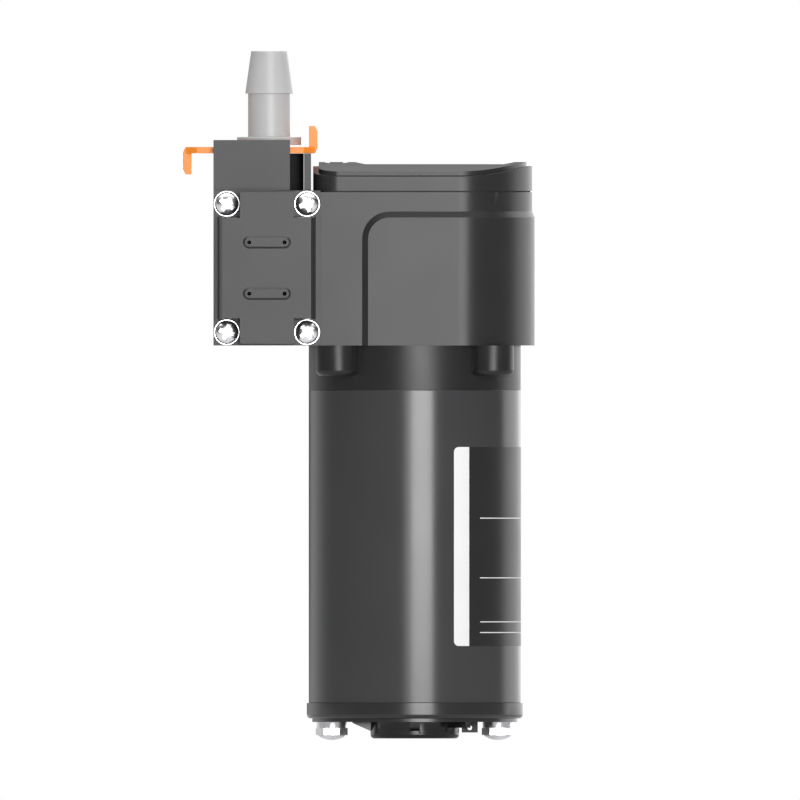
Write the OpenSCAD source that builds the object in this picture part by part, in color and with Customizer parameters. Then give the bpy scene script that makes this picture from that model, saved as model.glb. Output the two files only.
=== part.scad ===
// Twin-chamber diaphragm pump with an upright motor, a side head and slide-clip ports.
// Millimetres. +Z runs up the motor axis, -X points at the head, -Y is the switch side.
// The origin is on the motor axis, on the underside of the rear bearing boss.

/* [Motor] */
// Outer radius of the motor can
can_r = 31.8; // [31:0.1:33]
// Wall of the motor can
can_wall = 1.5; // [1:0.1:2]
// Length of the motor can
can_len = 93.9; // [88:0.1:100]
// Drop of the rear bearing boss below the rim of the end cap
boss_drop = 6; // [5:0.1:7]
// Outer radius of the rear bearing boss
boss_r = 13.3; // [13:0.1:15]
// Height of the rim of the rear end cap
cap_rim_h = 4.65; // [4:0.05:6]
// How far the rim of the end cap stands out from the can
cap_rim_out = 0.6; // [0.3:0.1:1]
// Height of the front bell above the can
bell_h = 13.35; // [13:0.05:16]
// Radius of the motor shaft
shaft_r = 4; // [3.5:0.1:4.5]
// Radius of the armature core
core_r = 21.6; // [20:0.1:21.8]
// Length of the armature core
core_len = 50; // [40:1:54]
// Radius of the commutator
commutator_r = 10; // [9:0.1:11]
// Distance from the motor axis to each through bolt
bolt_x = 24.9; // [24.7:0.1:25.2]
// Radius of the through bolts
bolt_r = 2.5; // [2:0.1:2.6]
// Thickness of the field magnets
magnet_t = 6.3; // [4:0.1:7]

/* [Screw ears] */
// Distance of the ears from the middle plane, along X
ear_x = 23.3; // [22.5:0.1:24]
// How far the axes of the ears lie inside the outside of the can
ear_in = 7; // [6.8:0.1:7.5]
// Radius of an ear boss
ear_r = 6.4; // [6:0.1:6.8]
// Height of an ear boss
ear_h = 9.15; // [8:0.05:10]
// How far the case screws lie inside the flat front of the crankcase
case_screw_in = 9.5; // [9:0.1:9.8]
// Radius of the case screws
case_screw_r = 1.5; // [1.25:0.05:1.75]

/* [Crankcase] */
// Distance from the motor axis to the flat left end
case_left = 30.5; // [29.5:0.1:31.5]
// Half depth between the flat front and back
case_half = 30; // [29.5:0.1:31]
// How far the round right end reaches past the half depth
case_end_out = 5.2; // [4.5:0.1:6.5]
// Radius of the arcs that join the flats and the round end
case_blend_r = 16.6; // [15:0.1:18]
// Radius of the two left corners of the crankcase
case_corner_r = 2; // [1:0.1:3]
// Wall of the crankcase and its cover
case_wall = 2.7; // [2.2:0.1:3.2]
// Thickness of the crankcase floor
case_floor = 3; // [2.5:0.1:3.3]
// Height of the crankcase
case_h = 46; // [45:0.1:47]
// Thickness of the cover gasket
gasket_t = 0.4; // [0.3:0.05:0.8]
// How far the gasket edge lies inside the walls
gasket_inset = 0.5; // [0.3:0.1:1]
// Height of the raised side panel
side_panel_h = 38.4; // [36:0.1:40]
// How far the side panel stands out
side_panel_out = 0.75; // [0.5:0.05:1]
// Distance from the motor axis to the left edge of the side panel
side_panel_x = 14; // [12:0.1:16]
// Corner radius of the side panel
side_panel_r = 6.5; // [4:0.1:8]
// Width of the slope round the side panel
side_slope = 1.8; // [1:0.1:2.5]

/* [Cover] */
// Height of the cover wall at its crown
cover_h = 7.4; // [7:0.1:9]
// Radius of the two left corners of the cover
cover_corner_r = 7.5; // [6:0.1:8]
// Radius of the crown across the cover
crown_r = 145; // [120:1:180]
// How far the raised top panel stands above the cover
top_panel_h = 1.25; // [0.8:0.05:1.6]
// How far the top panel lies inside the edge of the cover
top_panel_inset = 1.7; // [1.2:0.1:2.2]
// Width of the rim round the recess in the top panel
top_rim = 3.5; // [2.5:0.1:5]
// Depth of the recess in the top panel
top_recess = 0.65; // [0.3:0.05:0.9]
// Distance from the motor axis to the left end of the recess
recess_x = 14.9; // [12:0.1:16]
// Length of the slope at the left end of the recess
recess_slope = 3; // [2:0.1:4]
// Distance from the motor axis to each cover screw
cover_screw_x = 23.5; // [23:0.1:24]
// Radius of the cover screws
cover_screw_r = 0.9; // [0.8:0.05:1]
// Radius of the head of a cover screw
cover_head_r = 1.5; // [1.4:0.05:1.6]
// Half width of the oblong island round the left cover screw
island_half = 1.95; // [1.9:0.05:2.1]
// Half length of the island
island_reach = 8; // [6:0.1:9]
// Width of the groove round the island
groove_w = 1.45; // [1:0.05:1.7]

/* [Pump head] */
// Thickness of the manifold block
manifold_t = 17; // [16:0.1:18]
// Thickness of the valve plate
valve_plate_t = 6.5; // [6.2:0.1:7]
// Thickness of the rubber diaphragm
diaphragm_t = 1.5; // [1:0.1:1.8]
// Thickness of the clamp plate behind the diaphragm
clamp_t = 4.9; // [4.5:0.1:5.5]
// How far the head block reaches above the crankcase
head_over = 0.5; // [0.3:0.1:2]
// Material left between a chamber and the top or underside of the head
chamber_edge = 2.5; // [2.2:0.1:3]
// Material left between the two chambers
chamber_web = 1.5; // [1:0.1:2]
// Depth of a pump chamber
chamber_depth = 3.1; // [3.1:0.1:3.6]
// Gap from an umbrella valve to the middle plane
valve_gap = 1.4; // [1.3:0.1:1.8]
// How far the head screws lie inside the front and back of the head
head_screw_in = 8; // [7.5:0.1:8.5]
// Radius of the head screws
head_screw_r = 2; // [1.5:0.1:2.2]

/* [Crank] */
// Offset of each eccentric from the motor axis
throw = 1.5; // [1:0.1:1.6]
// Radius of an eccentric
ecc_r = 8; // [7.5:0.1:8.5]
// Outer radius of a rod bearing
rod_bearing_r = 13; // [12.5:0.1:13.5]
// Width of a rod and its bearing
rod_w = 7; // [6:0.1:7.5]
// Wall of the ring of a rod
rod_ring = 3; // [2.5:0.1:3.5]
// Width of the neck of a rod
rod_neck_w = 11; // [9:0.5:12]
// Gap between the diaphragm seat on a rod and the chamber wall
seat_gap = 3; // [2.8:0.1:3.5]
// How far a piston disc lies inside the diaphragm seat
piston_in = 1; // [0.8:0.1:1.5]

/* [Ports] */
// Distance from the motor axis to the ports
port_x = 43.7; // [43.5:0.1:44]
// Height of a socket above the head block
socket_h = 11.1; // [10:0.1:12]
// Outer radius of a socket
socket_r = 10.4; // [10:0.1:10.45]
// Bore radius of a socket
socket_bore_r = 7.45; // [7.3:0.05:7.6]
// Length of the guide rails along X
rail_len = 23; // [20:0.1:25]
// How far the guide rails stand above the sockets
rail_up = 4.05; // [3.5:0.05:5]
// Half width of the channel between two rails
channel_half = 10.2; // [10:0.1:10.4]
// Radius of the barb stem
stem_r = 6.3; // [6:0.1:6.5]
// Length of the barb stem
stem_len = 13.05; // [11:0.05:16]
// Radius of the barb at its widest
barb_r = 7.15; // [7:0.05:7.4]
// Radius of the barb at its tip
barb_tip_r = 5.35; // [5.2:0.05:6]
// Length of the barb cone
barb_len = 12.75; // [10:0.05:15]
// Bore radius of the barb
barb_bore_r = 4.5; // [4:0.1:4.6]
// Radius of the barb flange
flange_r = 9.6; // [9:0.1:9.9]
// Thickness of the barb flange
flange_t = 2.4; // [2:0.1:3]

/* [Slide clips] */
// Thickness of a slide clip
clip_t = 1.9; // [1.5:0.1:2.1]
// Half width of a slide clip
clip_half = 11.4; // [11:0.1:11.45]
// Length of the cut corners of a slide clip, along X
clip_corner_x = 4.1; // [3:0.1:5]
// Depth of the cut corners of a slide clip, along Y
clip_corner_y = 2.6; // [2:0.1:3]
// Travel of a slide clip
clip_travel = 6.4; // [6:0.1:6.4]
// Reach of the clip to the left of the rails
clip_left = 9.1; // [9:0.1:12]
// Reach of the clip to the right of the rails
clip_right = 8.2; // [7.8:0.1:9]
// Drop of the left lip below the clip
lip_down = 6.3; // [4:0.1:8]
// Rise of the right lip above the clip
lip_up = 6.3; // [4:0.1:8]
// Thickness of the lips
lip_t = 2.5; // [2:0.1:2.6]

/* [Pressure switch] */
// Width of the switch housing
switch_w = 32.1; // [31:0.1:33]
// Thickness of the foot of the switch housing
switch_foot = 3; // [2.5:0.1:3.5]
// Depth of the switch housing
switch_depth = 12; // [12:0.1:14]
// Wall of the switch housing
switch_wall = 2; // [1.5:0.1:2.2]
// Side of the square screw lugs
lug = 7.8; // [7.5:0.1:8.2]
// Radius of the switch screws
switch_screw_r = 1.5; // [1.25:0.05:1.75]
// Radius of the washer under each switch screw head
switch_washer_r = 3.9; // [3.5:0.05:3.95]
// Travel of the switch plunger
switch_travel = 0.4; // [0.2:0.05:0.5]
// Radius of the switch diaphragm
switch_dia_r = 6.5; // [6:0.1:7]
// Distance between the two terminal slots
slot_pitch = 15.4; // [14:0.1:17]

/* [Clearances] */
// Gap between a running shaft and its bore
running = 0.05; // [0.02:0.01:0.1]
// Gap between a loose part and its seat
loose = 0.1; // [0.05:0.01:0.15]

/* [Mounting] */
// Distance between the mounting holes along X
mount_dx = 20; // [16:1:21]
// Distance between the mounting holes along Z
mount_dz = 26; // [22:1:28]
// Radius of the tapped mounting holes
mount_r = 2.1; // [1.6:0.1:2.5]

/* [Hidden] */
$fn = 96;

// Motor levels
cap_z = boss_drop;
can_z = cap_z + cap_rim_h;
bell_z = can_z + can_len;
deck_z = bell_z + bell_h;
can_in_r = can_r - can_wall;
spigot_r = can_in_r - running;
spigot_h = 3;
spigot_t = 2;

// Motor bearings
bearing_r = 11;
bearing_w = 7;
bearing_race = 2.1;
rear_bearing_z = 1.5;
front_bearing_in = 5;
front_bearing_z = deck_z - front_bearing_in - bearing_w;

// Inside the motor
cap_plate_z = 4.95;
cap_plate_top = rear_bearing_z + bearing_w;
armature_up = 2.4;
armature_mid = (can_z + bell_z) / 2 + armature_up;
core_z0 = armature_mid - core_len / 2;
core_z1 = armature_mid + core_len / 2;
winding_h = 9;
winding_r = core_r - 2;
winding_in_r = commutator_r;
core_slots = 12;
commutator_up = 5;
commutator_z = can_z + commutator_up;
commutator_h = 10;
bolt_head_z = 1.05;
bolt_head_top = 4.95;
bolt_thread = 8;

// Crankcase levels
ear_y = can_r - ear_in;
case_screw_y = case_half - case_screw_in;
case_end_r = case_half + case_end_out;
floor_z = deck_z + case_floor;
case_top = deck_z + case_h;
cover_z = case_top + gasket_t;
cover_top = cover_z + cover_h;
panel_top = cover_top + top_panel_h;
recess_top = panel_top - top_recess;
blend_x = sqrt(pow(case_end_r - case_blend_r, 2) - pow(case_half - case_blend_r, 2));
column_r = 4.6;
case_head_r = 2.75;
case_head_h = 2.6;
case_head_z = case_top - case_head_h - 0.3;
case_screw_end = 3;
cover_screw_sink = 1.9;
cover_head_z = recess_top - cover_screw_sink;
cover_boss = 6.3;
mount_z = deck_z + side_panel_h / 2;
mount_depth = 8;
mount_wall = 2.5;
pilot_r = 16;
pilot_h = 2;
seal_r = 5.5;

// Head stations along X, from the crankcase outwards
clamp_x = -case_left - clamp_t;
dia_x = clamp_x - diaphragm_t;
plate_x = dia_x - valve_plate_t;
head_x = plate_x - manifold_t;
head_h = case_h + head_over;
head_top = deck_z + head_h;
chamber_r = (head_h - 2 * chamber_edge - chamber_web) / 4;
chamber_z = chamber_edge + chamber_r;
chamber_pitch = 2 * chamber_r + chamber_web;
head_screw_y = case_half - head_screw_in;
lower_z = deck_z + chamber_z;
upper_z = lower_z + chamber_pitch;
mid_z = (lower_z + upper_z) / 2;
chamber_x = dia_x - chamber_depth;
valve_pocket = 1.6;
valve_pocket_x = chamber_x - valve_pocket;
valve_y = chamber_r / 2;
valve_r = valve_y - valve_gap;
valve_pocket_r = valve_r + 0.5;
valve_t = 0.8;
valve_stem_r = 1;
valve_bulb_r = 1.5;
gallery_wall = 3;
gallery_edge = 3.5;
gallery_x = head_x + gallery_wall;
gallery_y0 = 1;
gallery_y1 = head_screw_y - head_screw_r - 2.5;
gallery_z0 = deck_z + gallery_edge;
gallery_z1 = head_top - gallery_edge;
passage_in = 4.3;
passage_x = plate_x - passage_in;
passage_r = 3;
screw_rows = [gallery_z0 + 1, mid_z, gallery_z1 - 1];
head_screw_head_r = 3.6;
head_screw_sink = 3.2;
head_screw_grip = 4;
head_screw_end = head_screw_grip - case_left;

// Crank stations
rod_len = case_left + clamp_t;
rod_seat_r = chamber_r - seat_gap;
seat_t = 2.5;
piston_r = rod_seat_r - piston_in;
piston_t = 1;
piston_screw_r = 1.5;
piston_screw_grip = 6;
set_screw_r = 1.25;
ecc_flange = 1.5;
ecc_flange_r = ecc_r + 1.2;
ecc_hub_h = 4;
rod_bearing_race = 1.5;
top_bearing_r = 8;
top_bearing_w = 5;
top_bearing_race = 1;
top_bearing_up = 2.6;
top_bearing_z = upper_z + rod_w / 2 + top_bearing_up;
top_boss_r = 11;
shaft_top = top_bearing_z + top_bearing_w;

// Port stations
port_y = case_half / 2;
socket_top = head_top + socket_h;
socket_base = 1.6;
socket_floor = head_top + socket_base;
rail_top = socket_top + rail_up;
clip_z = socket_top + running;
groove_z0 = socket_top;
groove_z1 = clip_z + clip_t + loose;
shank_r = socket_bore_r - running;
neck_r = 5.7;
flange_gap = 0.65;
flange_z = socket_top + clip_t + flange_gap;
stem_z = flange_z + flange_t;
cone_z = stem_z + stem_len;
tip_z = cone_z + barb_len;
o_ring_r = 1.2;
o_ring_up = 4.5;
o_ring_z = socket_floor + o_ring_up;
o_ring_out = 0.02;
stop_in = 2.2;
stop_t = 2.1;
stop_x0 = clamp_x + stop_in;
stop_x1 = stop_x0 + stop_t;
lip_cut_x = 0.8;
lip_cut_z = 1.5;

// Switch stations, outwards from the head front
front_y = -case_half;
foot_y = front_y - switch_foot;
face_y = front_y - switch_depth;
switch_x0 = head_x;
switch_x1 = head_x + switch_w;
switch_mid = (switch_x0 + switch_x1) / 2;
lug_mid = lug / 2 + 0.1;
body_in_left = 1.3;
body_in_right = 1.4;
body_side = 1.4;
body_x0 = switch_x0 + body_in_left;
body_x1 = switch_x1 - body_in_right;
cavity_x0 = body_x0 + body_side + switch_wall;
cavity_x1 = body_x1 - body_side - switch_wall;
switch_thread = 3.8;
plunger_in = 9.7;
plunger_drop = 3.6;
plunger_x = head_x + plunger_in;
plunger_z = mid_z - plunger_drop;
plunger_r = 4.2;
plunger_t = 1.2;
plunger_stem_r = 1.5;
spring_len = 2;
carrier_t = 1.2;
carrier_y = front_y - plunger_t - spring_len;
micro_y0 = face_y + switch_wall;
micro_y1 = carrier_y - carrier_t;
button_r = 1;
button_up = 0.5;
cavity_wall = 1.85;
cavity_z = head_h / 2 - lug - cavity_wall;
slot_half = 7.2;
slot_r = 1.875;
slot_rise = 0.5;
slot_slope = 0.6;
slot_hole_r = 0.6;
slot_hole_x = 5.3;

// A box between two corners
module block(x0, x1, y0, y1, z0, z1) {
  translate([x0, y0, z0]) cube([x1 - x0, y1 - y0, z1 - z0]);
}

// A cylinder along X from x0 to x1
module bar_x(r, x0, x1) {
  translate([x0, 0, 0]) rotate([0, 90, 0]) cylinder(r = r, h = x1 - x0);
}

// A cylinder along Y from y0 to y1
module bar_y(r, y0, y1) {
  translate([0, y1, 0]) rotate([90, 0, 0]) cylinder(r = r, h = y1 - y0);
}

// A flat ring
module ring(r, bore, h) {
  difference() {
    cylinder(r = r, h = h);
    translate([0, 0, -1]) cylinder(r = bore, h = h + 2);
  }
}

// A round boss whose lower edge is rounded
module soft_boss(r, h, edge) {
  rotate_extrude() {
    union() {
      square([r - edge, h]);
      translate([0, edge]) square([r, h - edge]);
      intersection() {
        translate([r - edge, edge]) circle(r = edge);
        square([r, h]);
      }
    }
  }
}

// Inner ring of a ball bearing and its balls
module ball_set(bore, race, outer, outer_race, w, balls) {
  ring(bore + race, bore, w);
  ball_r = (outer - outer_race - bore - race) / 2 - running / 2;
  mid_r = (outer - outer_race + bore + race) / 2;
  for (i = [0 : balls - 1])
    rotate(i * 360 / balls) translate([mid_r, 0, w / 2]) sphere(r = ball_r, $fn = 24);
}

// The sector in which the round end of the crankcase lies, drawn past radius r
module end_wedge(r) {
  side = case_half - case_blend_r;
  reach = 2 * r / (case_end_r - case_blend_r);
  polygon([[0, 0], [blend_x * reach, -side * reach], [2 * r, -side * reach],
           [2 * r, side * reach], [blend_x * reach, side * reach]]);
}

// Plan outline of the crankcase, moved out by t, with left corners of the given radius
module case_outline(t, corner) {
  left = -case_left - t;
  half = case_half + t;
  union() {
    translate([left, corner - half]) square([blend_x - left, 2 * (half - corner)]);
    translate([left + corner, -half]) square([blend_x - left - corner, 2 * half]);
    for (s = [-1, 1]) {
      translate([left + corner, s * (half - corner)]) circle(r = corner);
      translate([blend_x, s * (case_half - case_blend_r)]) circle(r = case_blend_r + t);
    }
    intersection() {
      circle(r = case_end_r + t);
      end_wedge(case_end_r + t);
    }
  }
}

module case_slab(t, z0, z1) {
  translate([0, 0, z0]) linear_extrude(z1 - z0) case_outline(t, cover_corner_r + t);
}

// Everything above the crown whose top is at z. The crown is drawn in flat strips
module above_crown(z) {
  half = case_half + 2;
  strips = 28;
  rotate([90, 0, 90]) translate([0, 0, -2 * case_left]) linear_extrude(2 * case_left + 2 * case_end_r)
    polygon(concat(
      [for (i = [0 : strips]) let (y = half * (2 * i / strips - 1))
        [y, z - crown_r + sqrt(crown_r * crown_r - y * y)]],
      [[half, z + cover_h], [-half, z + cover_h]]));
}

// The four case screw axes
module at_case_screws() {
  for (sx = [-1, 1], sy = [-1, 1]) translate([sx * ear_x, sy * case_screw_y, 0]) children();
}

// The cover screw axes, one at each end
module at_cover_screws() {
  for (s = [-1, 1]) translate([s * cover_screw_x, 0, 0]) children();
}

// The six head screw axes
module at_head_screws() {
  for (z = screw_rows, s = [-1, 1]) translate([0, s * head_screw_y, z]) children();
}

// A pair of like things, one on each motor bolt axis
module at_bolts() {
  for (s = [-1, 1]) translate([s * bolt_x, 0, 0]) children();
}

// A coil spring along Z, swept as a six-sided wire
function coil_point(i, steps, turns, r, h) =
  [r * cos(360 * turns * i / steps), r * sin(360 * turns * i / steps), h * i / steps];
module coil_spring(r, wire, h, turns) {
  steps = turns * 12;
  sides = 6;
  rise = h - 2 * wire;
  points = [for (i = [0 : steps], k = [0 : sides - 1])
    let (a = 360 * turns * i / steps, c = coil_point(i, steps, turns, r, rise),
         u = wire * cos(360 * k / sides), v = wire * sin(360 * k / sides))
    [c[0] + u * cos(a), c[1] + u * sin(a), c[2] + v + wire]];
  walls = [for (i = [0 : steps - 1], k = [0 : sides - 1])
    let (n = (k + 1) % sides, p = i * sides, q = p + sides)
    [p + k, q + k, q + n, p + n]];
  ends = [[for (k = [0 : sides - 1]) k], [for (k = [sides - 1 : -1 : 0]) steps * sides + k]];
  polyhedron(points = points, faces = concat(walls, ends));
}

// Motor

module motor_can() {
  color([0.2, 0.2, 0.21]) translate([0, 0, can_z]) ring(can_r, can_in_r, can_len);
}

module rear_end_cap() {
  rim_r = can_r + cap_rim_out;
  step_r = rim_r - 1.65;
  rim_edge = 1.2;
  rib_run = 5.4;
  rib_w = 3;
  rib_low = 2.25;
  rib_high = 4.65;
  bar_len = 8;
  bar_w = 2.4;
  bar_low = 3.2;
  color([0.16, 0.16, 0.17]) difference() {
    union() {
      soft_boss(boss_r, cap_plate_top, rim_edge);
      translate([0, 0, cap_z]) soft_boss(rim_r, cap_rim_h, rim_edge);
      translate([0, 0, cap_plate_z]) cylinder(r = step_r, h = cap_z - cap_plate_z + rim_edge);
      translate([0, 0, can_z - 1]) cylinder(r = spigot_r, h = spigot_h + 1);
      for (a = [180, 90, 270]) rotate(a) rotate([90, 0, 0]) translate([0, 0, -rib_w / 2])
        linear_extrude(rib_w)
          polygon([[boss_r - 1, rib_low], [boss_r, rib_low], [boss_r + rib_run, rib_high],
                   [boss_r + rib_run, cap_z], [boss_r - 1, cap_z]]);
      rotate(-38) translate([boss_r - 1, -bar_w / 2, bar_low]) cube([bar_len, bar_w, cap_z - bar_low]);
    }
    translate([0, 0, cap_plate_top]) cylinder(r = spigot_r - spigot_t, h = can_z + spigot_h);
    translate([0, 0, rear_bearing_z]) cylinder(r = bearing_r, h = bearing_w + 1);
    at_bolts() cylinder(r = bolt_r + loose, h = can_z + spigot_h + 1);
    for (s = [-1, 1]) terminal_slot(s);
  }
}

terminal_x = 16.5;
terminal_y = 9.5;
terminal_w = 4.8;
terminal_t = 0.8;
terminal_low = 1.8;
terminal_hole_r = 0.7;

module terminal_slot(s) {
  translate([terminal_x - terminal_w / 2, s * terminal_y - terminal_t / 2, 0])
    cube([terminal_w, terminal_t, cap_plate_top + 1]);
}

module motor_terminals() {
  color([0.42, 0.42, 0.43]) for (s = [-1, 1]) difference() {
    block(terminal_x - terminal_w / 2, terminal_x + terminal_w / 2,
          s * terminal_y - terminal_t / 2, s * terminal_y + terminal_t / 2,
          terminal_low, cap_plate_top + 1);
    translate([terminal_x, 0, terminal_low + 2 * terminal_hole_r])
      bar_y(terminal_hole_r, -2 * terminal_y, 2 * terminal_y);
  }
}

module front_bell() {
  ear_edge = 1.8;
  ear_root = 8;
  ear_step = 2;
  roof = 5;
  color([0.15, 0.15, 0.16]) difference() {
    union() {
      translate([0, 0, bell_z]) cylinder(r = can_r, h = bell_h);
      translate([0, 0, bell_z - spigot_h]) cylinder(r = spigot_r, h = spigot_h + 1);
      translate([0, 0, deck_z - 1]) cylinder(r = pilot_r, h = pilot_h + 1);
      for (sx = [-1, 1], sy = [-1, 1]) {
        translate([sx * ear_x, sy * ear_y, deck_z - ear_h]) soft_boss(ear_r, ear_h, ear_edge);
        block(sx * ear_x - ear_r, sx * ear_x + ear_r, min(sy * ear_root, sy * ear_y),
              max(sy * ear_root, sy * ear_y), deck_z - ear_h + ear_step, deck_z);
      }
    }
    translate([0, 0, bell_z - spigot_h - 1]) cylinder(r = spigot_r - spigot_t, h = spigot_h + 1);
    translate([0, 0, bell_z - 1]) ring(bolt_x - bolt_r - 2, bearing_r + 3, bell_h - roof);
    translate([0, 0, bell_z - 1]) cylinder(r = bearing_r, h = front_bearing_z + bearing_w - bell_z + 1);
    translate([0, 0, bell_z]) cylinder(r = seal_r, h = bell_h + pilot_h + 1);
    at_bolts() translate([0, 0, bell_z - spigot_h - 1])
      cylinder(r = bolt_r + running, h = bolt_thread + spigot_h + 1);
    at_case_screws() translate([0, 0, deck_z - ear_h + case_screw_end - 1])
      cylinder(r = case_screw_r + running, h = ear_h);
  }
}

module field_magnets() {
  magnet_in_r = can_in_r - magnet_t;
  spread = 65;
  color([0.24, 0.24, 0.26]) for (a = [90, 270])
    intersection() {
      translate([0, 0, core_z0 - 2]) ring(can_in_r - running, magnet_in_r, core_len + 4);
      rotate(a) linear_extrude(bell_z)
        polygon([[0, 0], [2 * can_r * cos(spread), -2 * can_r * sin(spread)],
                 [2 * can_r * cos(spread), 2 * can_r * sin(spread)]]);
    }
}

module motor_shaft() {
  color([0.78, 0.79, 0.8]) translate([0, 0, rear_bearing_z + 0.5])
    cylinder(r = shaft_r, h = shaft_top - rear_bearing_z - 0.5);
}

core_slot_depth = 8;
core_slot_w = 4;

module armature_core() {
  color([0.5, 0.5, 0.52]) difference() {
    translate([0, 0, core_z0]) ring(core_r, shaft_r, core_len);
    for (i = [0 : core_slots - 1]) rotate(i * 360 / core_slots)
      translate([core_r - core_slot_depth, -core_slot_w / 2, core_z0 - 1])
        cube([core_slot_depth + 1, core_slot_w, core_len + 2]);
  }
}

module armature_windings() {
  slot_w = core_slot_w - 2 * loose;
  slot_in = core_r - core_slot_depth + loose;
  color([0.7, 0.36, 0.16]) union() {
    translate([0, 0, core_z0 - winding_h]) ring(winding_r, shaft_r + 2, winding_h);
    translate([0, 0, core_z1]) ring(winding_r, shaft_r + 2, winding_h);
    for (i = [0 : core_slots - 1]) rotate(i * 360 / core_slots)
      translate([slot_in, -slot_w / 2, core_z0 - 1])
        cube([winding_r - slot_in - 0.5, slot_w, core_len + 2]);
  }
}

module commutator() {
  bars = 12;
  slit = 0.5;
  slit_depth = 1.2;
  color([0.75, 0.42, 0.22]) difference() {
    translate([0, 0, commutator_z]) ring(commutator_r, shaft_r, commutator_h);
    for (i = [0 : bars - 1]) rotate((i + 0.5) * 360 / bars)
      translate([commutator_r - slit_depth, -slit / 2, commutator_z - 1])
        cube([2 * slit_depth, slit, commutator_h + 2]);
  }
}

brush_w = 6;
brush_h = 7;
brush_z = commutator_z + 1.5;
brush_gap = 0.15;
brush_len = 6.85;
brush_in = commutator_r + brush_gap;
brush_out = brush_in + brush_len;
brush_box = 1.2;
brush_spring_r = 2;
brush_spring_wire = 0.3;
brush_spring_len = 6;
brush_box_out = brush_out + brush_spring_len + brush_box;

module brush_holder() {
  plate_z = can_z + spigot_h;
  plate_in = commutator_r + 2;
  side = brush_w / 2 + brush_box;
  color([0.12, 0.12, 0.13]) difference() {
    union() {
      translate([0, 0, plate_z]) ring(can_in_r - loose, plate_in, brush_z - plate_z - brush_box / 2);
      for (s = [-1, 1])
        block(-side, side, min(s * plate_in, s * brush_box_out), max(s * plate_in, s * brush_box_out),
              plate_z, brush_z + brush_h + brush_box);
    }
    for (s = [-1, 1])
      block(-brush_w / 2 - loose, brush_w / 2 + loose,
            min(0, s * (brush_box_out - brush_box)), max(0, s * (brush_box_out - brush_box)),
            brush_z - loose, brush_z + brush_h + loose);
    at_bolts() cylinder(r = bolt_r + loose, h = bell_z);
  }
}

module brushes() {
  color([0.1, 0.1, 0.11]) for (s = [-1, 1])
    block(-brush_w / 2, brush_w / 2, min(s * brush_in, s * brush_out),
          max(s * brush_in, s * brush_out), brush_z, brush_z + brush_h);
}

module brush_springs() {
  color([0.8, 0.8, 0.82]) for (s = [-1, 1])
    translate([0, s * brush_out, brush_z + brush_h / 2]) rotate([s * -90, 0, 0])
      coil_spring(brush_spring_r, brush_spring_wire, brush_spring_len, 4);
}

module through_bolts() {
  hex_r = 4.8;
  hex_h = 2.1;
  dome_h = 1.5;
  dome_r = 7;
  color([0.82, 0.83, 0.85]) at_bolts() union() {
    translate([0, 0, bolt_head_z + hex_h])
      cylinder(r = hex_r - 0.3, h = bolt_head_top - bolt_head_z - hex_h);
    translate([0, 0, bolt_head_z]) cylinder(r = hex_r, h = hex_h, $fn = 6);
    translate([0, 0, bolt_head_z - dome_h]) intersection() {
      cylinder(r = hex_r - 0.7, h = dome_h + 0.1);
      translate([0, 0, dome_r]) sphere(r = dome_r, $fn = 64);
    }
    translate([0, 0, bolt_head_top - 0.1]) cylinder(r = bolt_r, h = bell_z + bolt_thread - 1 - bolt_head_top);
  }
}

module rear_bearing_outer() {
  color([0.7, 0.71, 0.73]) translate([0, 0, rear_bearing_z])
    ring(bearing_r, bearing_r - bearing_race, bearing_w);
}

module rear_bearing_inner() {
  color([0.75, 0.76, 0.78]) translate([0, 0, rear_bearing_z])
    ball_set(shaft_r, bearing_race, bearing_r, bearing_race, bearing_w, 8);
}

module front_bearing_outer() {
  color([0.7, 0.71, 0.73]) translate([0, 0, front_bearing_z])
    ring(bearing_r, bearing_r - bearing_race, bearing_w);
}

module front_bearing_inner() {
  color([0.75, 0.76, 0.78]) translate([0, 0, front_bearing_z])
    ball_set(shaft_r, bearing_race, bearing_r, bearing_race, bearing_w, 8);
}

module top_bearing_outer() {
  color([0.7, 0.71, 0.73]) translate([0, 0, top_bearing_z])
    ring(top_bearing_r, top_bearing_r - top_bearing_race, top_bearing_w);
}

module top_bearing_inner() {
  color([0.75, 0.76, 0.78]) translate([0, 0, top_bearing_z])
    ball_set(shaft_r, top_bearing_race, top_bearing_r, top_bearing_race, top_bearing_w, 9);
}

// Crankcase

// The raised side panel: full height below, a slope round its top and left edges
module side_panel() {
  panel_z = deck_z + side_panel_h;
  for (s = [0, 1]) mirror([0, s, 0]) {
    flat_panel(panel_z);
    translate([blend_x, case_blend_r - case_half, deck_z]) panel_drum(case_blend_r);
  }
  intersection() {
    translate([0, 0, deck_z]) panel_drum(case_end_r);
    translate([0, 0, deck_z]) linear_extrude(case_h) end_wedge(case_end_r);
  }
}

// A round stretch of the side panel about its own axis, with the slope on top
module panel_drum(r) {
  cylinder(r = r + side_panel_out, h = side_panel_h);
  translate([0, 0, side_panel_h]) cylinder(r1 = r + side_panel_out, r2 = r, h = side_slope);
}

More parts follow.
